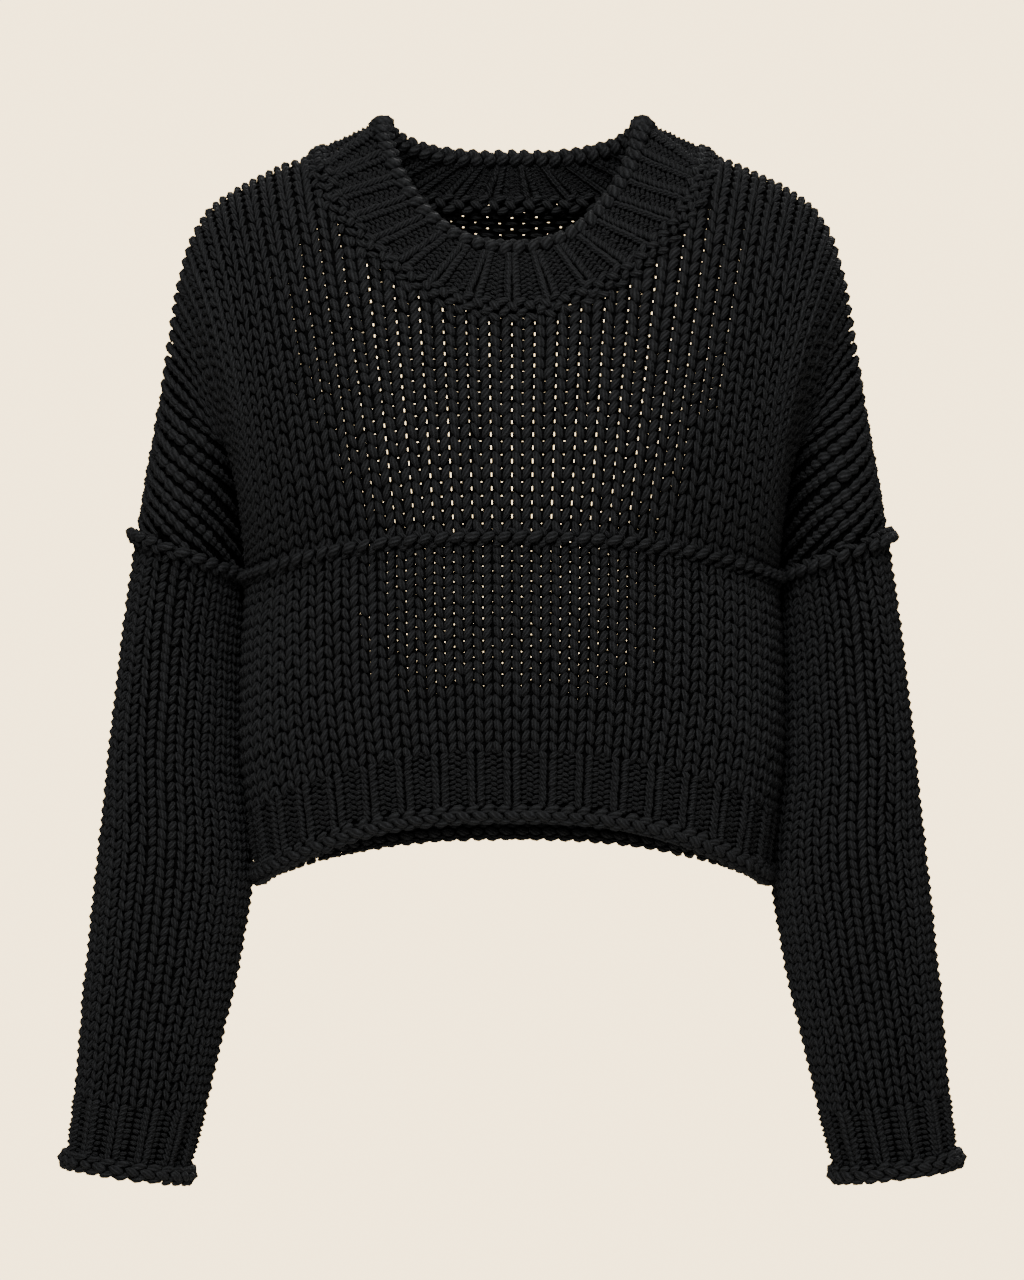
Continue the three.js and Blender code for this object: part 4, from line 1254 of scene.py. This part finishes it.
def knit_piece(name, slot, strands, lines):
    """(backing, yarn) of a knitted piece, which take its solid's place."""
    yarn = strands.make(f"{name}_yarn", slot)
    cloth = backing(name, slot, *lines)
    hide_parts(name)
    return cloth, yarn


COLUMN_END = 0.4  # rows that a column's last stitch leaves free below the shoulder
NECK_OVERRUN = 0.1  # rows of a stitch that lie past its start where it meets the neckline
DROP_CLOSING = 0.7  # share by which a stitch's legs close over the dropped shoulder
DROP_CLOSES = (18, 21)  # wales
DROP_THINNING = 0.3  # share by which the yarn thins there, towards the armhole, so that more of the backing's painted shade shows
DROP_THINS = {"wales": (18.5, 20), "rows": (20, 6)}
# The back's inside that shows through the neck: its wales and rows, and where its two sets of
# bumps start in each cell
NAPE_INSIDE = {"wales": (-9, 10), "rows": (16, YOKE_ROWS)}
NAPE_BUMPS = ((0, 0.77), (0.5, 0.25))
BUMP_HEIGHT = 0.2  # rows
YOKE_NEAR = (12, (0, 34))  # last wale and rows that have pinholes
PANEL_NEAR = (11, (PANEL_ROWS - 16, PANEL_ROWS))


def add_columns(strands, facing):
    """A yoke's columns of stitches, which lean down the outer arm."""
    leaning = net(f"{facing}_yoke_leaning")
    for wale in np.arange(-ARM_WALES + 0.5, ARM_WALES):
        size = abs(wale)
        length = np.interp(size, steps(0, ARM_WALES, NET_WALE), leaning.column_lengths)
        pitch = 1 + smooth(*DROP_BLEND, size) * (YOKE_ROWS * DROP_ROW / length - 1)
        rows = np.arange(0, YOKE_ROWS - COLUMN_END * pitch, pitch)
        wales = np.full(rows.shape, wale)
        neckline = neck_rows(facing, wales) + (size > NECK_WALES)
        kept = (rows + NECK_OVERRUN * pitch < neckline) & ~past_sleeve_seam(wales, rows)
        wales, rows = wales[kept], rows[kept]
        spread = 1 - DROP_CLOSING * smooth(*DROP_CLOSES, size)
        thinning = DROP_THINNING * smooth(*DROP_THINS["wales"], size)
        girth = 1 - thinning * smooth(*DROP_THINS["rows"], rows)
        add_legs(strands, leaning, wales, rows, PLAIN_LEG, pitch=pitch, spread=spread,
                 girth=girth)


def add_nape(strands):
    """Purl bumps on the back yoke's inside."""
    for wale, up in NAPE_BUMPS:
        places = np.arange(*NAPE_INSIDE["wales"]) + wale, np.arange(*NAPE_INSIDE["rows"]) + up
        wales, rows = grid(*places)
        kept = rows + BUMP_HEIGHT < neck_rows("back", wales)
        add_legs(strands, net("back_yoke"), wales[kept], rows[kept], PURL_INSIDE, inside=True,
                 sides=(1,))


class YokesOperator(bpy.types.Operator):
    """Knits the front and back yokes with their dropped shoulders"""

    bl_idname = "sweater.yokes"
    bl_label = "Yokes"

    def execute(self, context):
        for facing, spread in (("front", chest_spread), ("back", nape_spread)):
            name = f"{facing}_yoke"
            strands = Strands()
            add_columns(strands, facing)
            if facing == "back":
                add_nape(strands)
            sizes = openness(facing, spread, YOKE_SLIT, YOKE_LEVEL, YOKE_VARY, round_at_nape=True)
            lines = pinhole_lines(ARM_WALES, YOKE_ROWS, *YOKE_NEAR, sizes, facing)
            cloth, yarn = knit_piece(name, "knit", strands, lines)
            declare_sheet(net(name), facing)
        return {"FINISHED"}


class PanelsOperator(bpy.types.Operator):
    """Knits the front and back lower panels"""

    bl_idname = "sweater.panels"
    bl_label = "Lower panels"

    def execute(self, context):
        for facing in ("front", "back"):
            name = f"{facing}_panel"
            strands = Strands()
            wales, rows = grid(np.arange(-CHEST_WALES + 0.5, CHEST_WALES), np.arange(PANEL_ROWS))
            add_legs(strands, net(name), wales, rows, PLAIN_LEG)
            sizes = openness(facing, waist_spread, PANEL_PINHOLE, PANEL_PINHOLE, PANEL_VARY)
            lines = pinhole_lines(CHEST_WALES, PANEL_ROWS, *PANEL_NEAR, sizes)
            cloth, yarn = knit_piece(name, "knit", strands, lines)
            declare_sheet(net(name))
        return {"FINISHED"}


def hem_line(facing):
    """The middle of the rolled edge below the hem's rib, with the way out of it."""
    knitted = net(f"{facing}_hem_rib")
    wales = steps(-CHEST_WALES, CHEST_WALES, NET_WALE)
    point, normal = knitted.at(wales, 0 * wales)
    up = unit(knitted.at(wales, 0 * wales + 1)[0] - point)
    along = unit(np.gradient(point, axis=0))
    down = unit(np.cross(along, normal))
    down = down * -np.sign(np.sum(down * up, axis=1, keepdims=True))
    return Line(point + down * HEM_ROLL * MM, normal)


CORE_RADIUS = 3.4
HEM_LINKS = (
    (3.4, 3.3, 0.0, 26, 5.2, 3.0),
    (-0.6, 4.5, 0.5, -22, 5.6, 3.2),
    (-4.2, 2.4, 0.1, 12, 5.6, 2.6),
    (-4.2, -1.8, 0.6, -10, 5.0, 2.5),
    (0.2, -4.0, 0.1, 12, 5.0, 2.6),
    (3.8, -2.6, 0.5, -12, 4.8, 2.4),
)
HEM_LINK_COUNT = 46
HEM_KNOB = 9.0
HEM_KNOBS = (0.004, 0.996)  # shares of the edge's length, at the side seams
HEM_KNOB_GROWTH = 0.3


class HemOperator(bpy.types.Operator):
    """Knits the hem's rib and its rolled cast-off edge"""

    bl_idname = "sweater.hem"
    bl_label = "Hem"

    def execute(self, context):
        for facing in ("front", "back"):
            name = f"{facing}_hem_rib"
            strands = Strands()
            add_rib(strands, net(name), 2 * CHEST_WALES - 2, -CHEST_WALES + 1, HEM_ROWS)
            lines = plain_lines(-CHEST_WALES, CHEST_WALES, HEM_ROWS)
            cloth, yarn = knit_piece(name, "rib", strands, lines)
            line = hem_line(facing)
            strands = Strands()
            add_links(strands, line, HEM_LINK_COUNT, HEM_LINKS, (0, 1), HEM_KNOB_GROWTH)
            add_knobs(strands, line, HEM_KNOBS, HEM_KNOB)
            roll = strands.make(f"{facing}_hem_cast_off", "cast_off")
            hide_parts(f"{facing}_hem_edge")
            inside = core(f"{facing}_hem_core", line, CORE_RADIUS)
            declare_sheet(net(name))
        return {"FINISHED"}


class SleevesOperator(bpy.types.Operator):
    """Knits both sleeves"""

    bl_idname = "sweater.sleeves"
    bl_label = "Sleeves"

    def execute(self, context):
        for hand in ("left", "right"):
            name = f"{hand}_sleeve"
            strands = Strands()
            wales, rows = grid(np.arange(0.5, SLEEVE_WALES), np.arange(SLEEVE_ROWS))
            add_legs(strands, net(name), wales, rows, PLAIN_LEG)
            lines = plain_lines(0, SLEEVE_WALES, SLEEVE_ROWS)
            cloth, yarn = knit_piece(name, "knit", strands, lines)
            declare_sheet(net(name))
        return {"FINISHED"}


def cuff_line(hand):
    """The middle of the cuff's rolled edge, which flares a little beyond the rib."""
    knitted = net(f"{hand}_cuff")
    wales = steps(0, SLEEVE_WALES, NET_WALE)
    point, normal = knitted.at(wales, 0 * wales)
    down = unit(point - knitted.at(wales, 0 * wales + 1)[0])
    return Line(point + down * CUFF_ROLL * MM + normal * CUFF_FLARE * MM, normal, closed=True)


CUFF_LINKS = (
    (3.8, 3.2, 0.0, 24, 5.4, 2.7),
    (0.0, 4.4, 0.5, -16, 5.6, 3.0),
    (-3.9, 2.7, 0.1, 12, 5.8, 2.7),
    (-4.2, -1.9, 0.6, -12, 5.4, 2.6),
    (0.2, -4.0, 0.1, 14, 5.2, 2.6),
    (3.8, -2.6, 0.5, -12, 5.0, 2.4),
)


class CuffsOperator(bpy.types.Operator):
    """Knits both cuffs and their rolled cast-off edges"""

    bl_idname = "sweater.cuffs"
    bl_label = "Cuffs"

    def execute(self, context):
        for hand in ("left", "right"):
            name = f"{hand}_cuff"
            strands = Strands()
            add_rib(strands, net(name), SLEEVE_WALES - 1, 0.5, CUFF_ROWS, mesh=False)
            lines = plain_lines(0, SLEEVE_WALES, CUFF_ROWS)
            cloth, yarn = knit_piece(name, "rib", strands, lines)
            line = cuff_line(hand)
            strands = Strands()
            add_links(strands, line, SLEEVE_WALES, CUFF_LINKS)
            roll = strands.make(f"{name}_cast_off", "cast_off")
            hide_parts(f"{name}_edge")
            inside = core(f"{name}_core", line, CORE_RADIUS)
            declare_sheet(net(name))
        return {"FINISHED"}


NECK_EDGE_LINKS = (
    (-0.6, 3.4, 0.0, 62, 5.6, 4.2),
    (3.2, 0.2, 0.5, 50, 4.8, 3.9),
    (0.0, -3.2, 0.2, -56, 5.0, 3.8),
)
NECK_SEAM_LINKS = (
    (3.2, 2.6, 0.0, 34, 4.2, 2.6),
    (-0.6, 3.4, 0.5, -40, 4.2, 2.7),
    (-4.2, 2.0, 0.1, 34, 4.4, 2.6),
    (-7.4, 0.6, 0.6, -30, 4.4, 2.4),
)
NECK_SEAM_COUNT = 66
NECK_SEAM_PLACE = (0.6, 2.6)  # row, and millimetres above the cloth
NECK_KNOB = 9.0
NECK_KNOB_GROWTH = 0.15
NECK_CORE_RADIUS = 3.0
BAND_OVERRUN = 0.7  # rows by which its backing runs on under the chain
NAPE_WALES = (14, 46)  # stretch of the back's seam that shows inside
NAPE_PLACE = (-0.4, -3.2)
NAPE_LINKS = (
    (3.0, 1.6, 0.0, 30, 4.6, 2.6),
    (-1.0, 2.4, 0.5, -36, 4.4, 2.7),
    (-4.8, 1.4, 0.1, 30, 4.4, 2.5),
)
NAPE_COUNT = 34


class NeckbandOperator(bpy.types.Operator):
    """Knits the neckband, its chained edge and the lumpy seam below it"""

    bl_idname = "sweater.neckband"
    bl_label = "Neckband"

    def execute(self, context):
        knitted = net("neckband")
        strands = Strands()
        add_rib(strands, knitted, BAND_WALES - 1, 0, BAND_ROWS)
        back = (BAND_WALES * 0.25, BAND_WALES * 0.75)
        add_rib(strands, knitted, BAND_WALES - 1, 1, BAND_ROWS, inside=True, span=back)
        wales, rows = plain_lines(0, BAND_WALES, BAND_ROWS)
        lines = wales, rows * (1 + BAND_OVERRUN / BAND_ROWS)
        cloth, yarn = knit_piece("neckband", "rib", strands, lines)
        turns = steps(0, BAND_WALES, NET_WALE)
        edge, edge_out = knitted.at(turns, 0 * turns + BAND_ROWS)
        up = unit(edge - knitted.at(turns, 0 * turns + BAND_ROWS - 1)[0])
        line = Line(edge + up * NECK_ROLL * NECK_CHAIN_SEAT * MM, edge_out, closed=True)
        sides = (find(line.points[:, 0]) for find in (np.argmin, np.argmax))
        knobs = [line.lengths[side] / line.lengths[-1] for side in sides]
        strands = Strands()
        add_links(strands, line, BAND_WALES, NECK_EDGE_LINKS, knobs, NECK_KNOB_GROWTH)
        add_knobs(strands, line, knobs, NECK_KNOB)
        chain = strands.make("neckband_chain", "cast_off")
        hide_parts("neckband_edge")
        inside = core("neckband_core", line, NECK_CORE_RADIUS)
        strands = Strands()
        line = row_line(knitted, turns, *NECK_SEAM_PLACE, closed=True)
        add_links(strands, line, NECK_SEAM_COUNT, NECK_SEAM_LINKS)
        line = row_line(knitted, steps(*NAPE_WALES, NET_WALE), *NAPE_PLACE, inside=True)
        add_links(strands, line, NAPE_COUNT, NAPE_LINKS)
        ridge = strands.make("neckband_ridge", "seam_chain")
        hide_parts("neckband_seam")
        declare_sheet(knitted)
        return {"FINISHED"}


CHEST_LINKS = (
    (-0.4, 3.8, 0.0, 34, 5.3, 3.1),
    (3.4, 0.8, 0.5, -40, 3.4, 1.9),
    (-4.4, 0.6, 0.5, 36, 3.6, 1.9),
)
CHEST_LINK = 9.6  # millimetres from one link to the next
CHEST_SEAM_PLACE = (PANEL_ROWS - 0.35, 3.4)  # row, and millimetres above the cloth
CHEST_KNOBS = {"front": (0, 1), "back": ()}
SLEEVE_LINK_COUNT = 26
SLEEVE_SEAM_PLACE = (SLEEVE_ROWS - 0.5, 4.6)
SLEEVE_KNOBS = (0.5,)  # on the outer arm
SEAM_KNOB = 4.6
SLEEVE_LINKS = (
    (-1.2, 3.2, 0.0, 32, 5.6, 3.3),
    (3.0, 1.6, 0.5, -30, 4.6, 2.3),
)
CHEST_RIDGE_END = {"front": 18.9, "back": 13.5}
SLEEVE_RIDGE = (-11.6, 8.7)  # from the front's end to the back's, in the sleeve's wales
CHEST_RIDGE_STEP = 0.2  # wales
SLEEVE_RIDGE_STEP = 0.1


class SeamsOperator(bpy.types.Operator):
    """Works the chains over the chest seam and the sleeve seams"""

    bl_idname = "sweater.seams"
    bl_label = "Seam chains"

    def execute(self, context):
        for facing, end in CHEST_RIDGE_END.items():
            wales = steps(-end, end, CHEST_RIDGE_STEP)
            line = row_line(net(f"{facing}_panel"), wales, *CHEST_SEAM_PLACE)
            strands = Strands()
            count = int(round(line.lengths[-1] / (CHEST_LINK * MM)))
            add_links(strands, line, count, CHEST_LINKS)
            add_knobs(strands, line, CHEST_KNOBS[facing], SEAM_KNOB)
            chain = strands.make(f"{facing}_chest_chain", "seam_chain")
            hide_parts(f"{facing}_chest_seam")
        for hand in ("left", "right"):
            wales = steps(*SLEEVE_RIDGE, SLEEVE_RIDGE_STEP)
            line = row_line(net(f"{hand}_sleeve"), wales, *SLEEVE_SEAM_PLACE)
            strands = Strands()
            add_links(strands, line, SLEEVE_LINK_COUNT, SLEEVE_LINKS)
            add_knobs(strands, line, SLEEVE_KNOBS, SEAM_KNOB)
            chain = strands.make(f"{hand}_sleeve_chain", "seam_chain")
            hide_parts(f"{hand}_sleeve_seam")
        return {"FINISHED"}


# Each light's place and size in metres; its power is one of the studio's settings
LIGHTS = {
    "key": ((-0.35, -3.3, 1.5), 1.3),
    "top": ((0.1, -1.3, 2.4), 1.2),
    "fill": ((0.9, -3.4, -0.9), 2.0),
    "rear": ((0.45, 3.3, 1.6), 2.4),
}
ROOM_LIGHT = {"Color": (1, 0.99, 0.97, 1), "Strength": 0.05}
WALL_GLOW = 5.4
FLOOR_GLOW = 2.6  # light that the floor shows to the camera only, so that it stays pale
FLOOR_RADIUS = 7
FLOOR_SIDES = 96
SENSOR_WIDTH = 36
FAR_CLIP = 50


class StudioOperator(bpy.types.Operator):
    """Sets up the camera, the pale floor and the soft lights"""

    bl_idname = "sweater.studio"
    bl_label = "Studio"

    def execute(self, context):
        studio = context.scene.sweater_studio
        self.add_camera(context, studio)
        self.add_backdrop(context, studio)
        middle = Vector((0, 0, studio.camera_height))
        for name, (place, size) in LIGHTS.items():
            self.add_light(context, name, place, middle, size, getattr(studio, f"{name}_power"))
        return {"FINISHED"}

    def add_camera(self, context, studio):
        camera = bpy.data.cameras.new("camera")
        camera.sensor_width = SENSOR_WIDTH
        camera.lens = camera.sensor_width * studio.camera_distance / studio.frame_height
        camera.clip_end = FAR_CLIP
        placed = bpy.data.objects.new("camera", camera)
        placed.location = (0, -studio.camera_distance, studio.camera_height)
        placed.rotation_euler = (math.pi / 2, 0, 0)
        context.scene.collection.objects.link(placed)
        context.scene.camera = placed

    def add_backdrop(self, context, studio):
        bpy.ops.mesh.primitive_circle_add(
            vertices=FLOOR_SIDES, radius=FLOOR_RADIUS, fill_type="NGON",
            location=(0, 0, studio.floor_height))
        floor = context.object
        floor.name = "floor"
        paint = Shading("floor")
        set_inputs(paint.shader, {
            "Base Color": (*studio.floor_colour, 1),
            "Roughness": 0.9,
            "Emission Color": (*studio.wall_colour, 1),
        })
        seen = paint.nodes.new("ShaderNodeLightPath").outputs["Is Camera Ray"]
        glow = paint.math("MULTIPLY", seen, FLOOR_GLOW)
        paint.links.new(glow, paint.shader.inputs["Emission Strength"])
        floor.data.materials.append(paint.material)
        world = bpy.data.worlds.new("backdrop")
        world.use_nodes = True
        nodes, links = world.node_tree.nodes, world.node_tree.links
        nodes.clear()
        wall, room = nodes.new("ShaderNodeBackground"), nodes.new("ShaderNodeBackground")
        set_inputs(wall, {"Color": (*studio.wall_colour, 1), "Strength": WALL_GLOW})
        set_inputs(room, ROOM_LIGHT)
        path, mix = nodes.new("ShaderNodeLightPath"), nodes.new("ShaderNodeMixShader")
        links.new(path.outputs["Is Camera Ray"], mix.inputs[0])
        links.new(room.outputs[0], mix.inputs[1])
        links.new(wall.outputs[0], mix.inputs[2])
        links.new(mix.outputs[0], nodes.new("ShaderNodeOutputWorld").inputs[0])
        context.scene.world = world

    def add_light(self, context, name, place, aim, size, power):
        light = bpy.data.lights.new(name, "AREA")
        light.shape = "SQUARE"
        light.size = size
        light.energy = power
        placed = bpy.data.objects.new(name, light)
        placed.location = place
        placed.rotation_euler = (aim - Vector(place)).to_track_quat("-Z", "Y").to_euler()
        context.scene.collection.objects.link(placed)


OPERATORS = (
    YokesOperator,
    PanelsOperator,
    HemOperator,
    SleevesOperator,
    CuffsOperator,
    NeckbandOperator,
    SeamsOperator,
    StudioOperator,
)


class SweaterPanel(bpy.types.Panel):
    """Lists the sweater's settings and steps"""

    bl_idname = "VIEW3D_PT_sweater"
    bl_label = "Cropped knit sweater"
    bl_space_type = "VIEW_3D"
    bl_region_type = "UI"
    bl_category = "Sweater"

    def draw(self, context):
        for settings in (context.scene.sweater_yarn, context.scene.sweater_studio):
            for name in settings.__annotations__:
                self.layout.prop(settings, name)
        for operator in OPERATORS:
            self.layout.operator(operator.bl_idname)


CLASSES = (SweaterYarn, SweaterStudio, *OPERATORS, SweaterPanel)


def register():
    for kept in CLASSES:
        bpy.utils.register_class(kept)
    bpy.types.Scene.sweater_yarn = bpy.props.PointerProperty(type=SweaterYarn)
    bpy.types.Scene.sweater_studio = bpy.props.PointerProperty(type=SweaterStudio)


def unregister():
    del bpy.types.Scene.sweater_studio
    del bpy.types.Scene.sweater_yarn
    for kept in reversed(CLASSES):
        bpy.utils.unregister_class(kept)


def main():
    register()
    bpy.ops.sweater.yokes()
    bpy.ops.sweater.panels()
    bpy.ops.sweater.hem()
    bpy.ops.sweater.sleeves()
    bpy.ops.sweater.cuffs()
    bpy.ops.sweater.neckband()
    bpy.ops.sweater.seams()
    bpy.ops.sweater.studio()


if __name__ == "__main__":
    main()
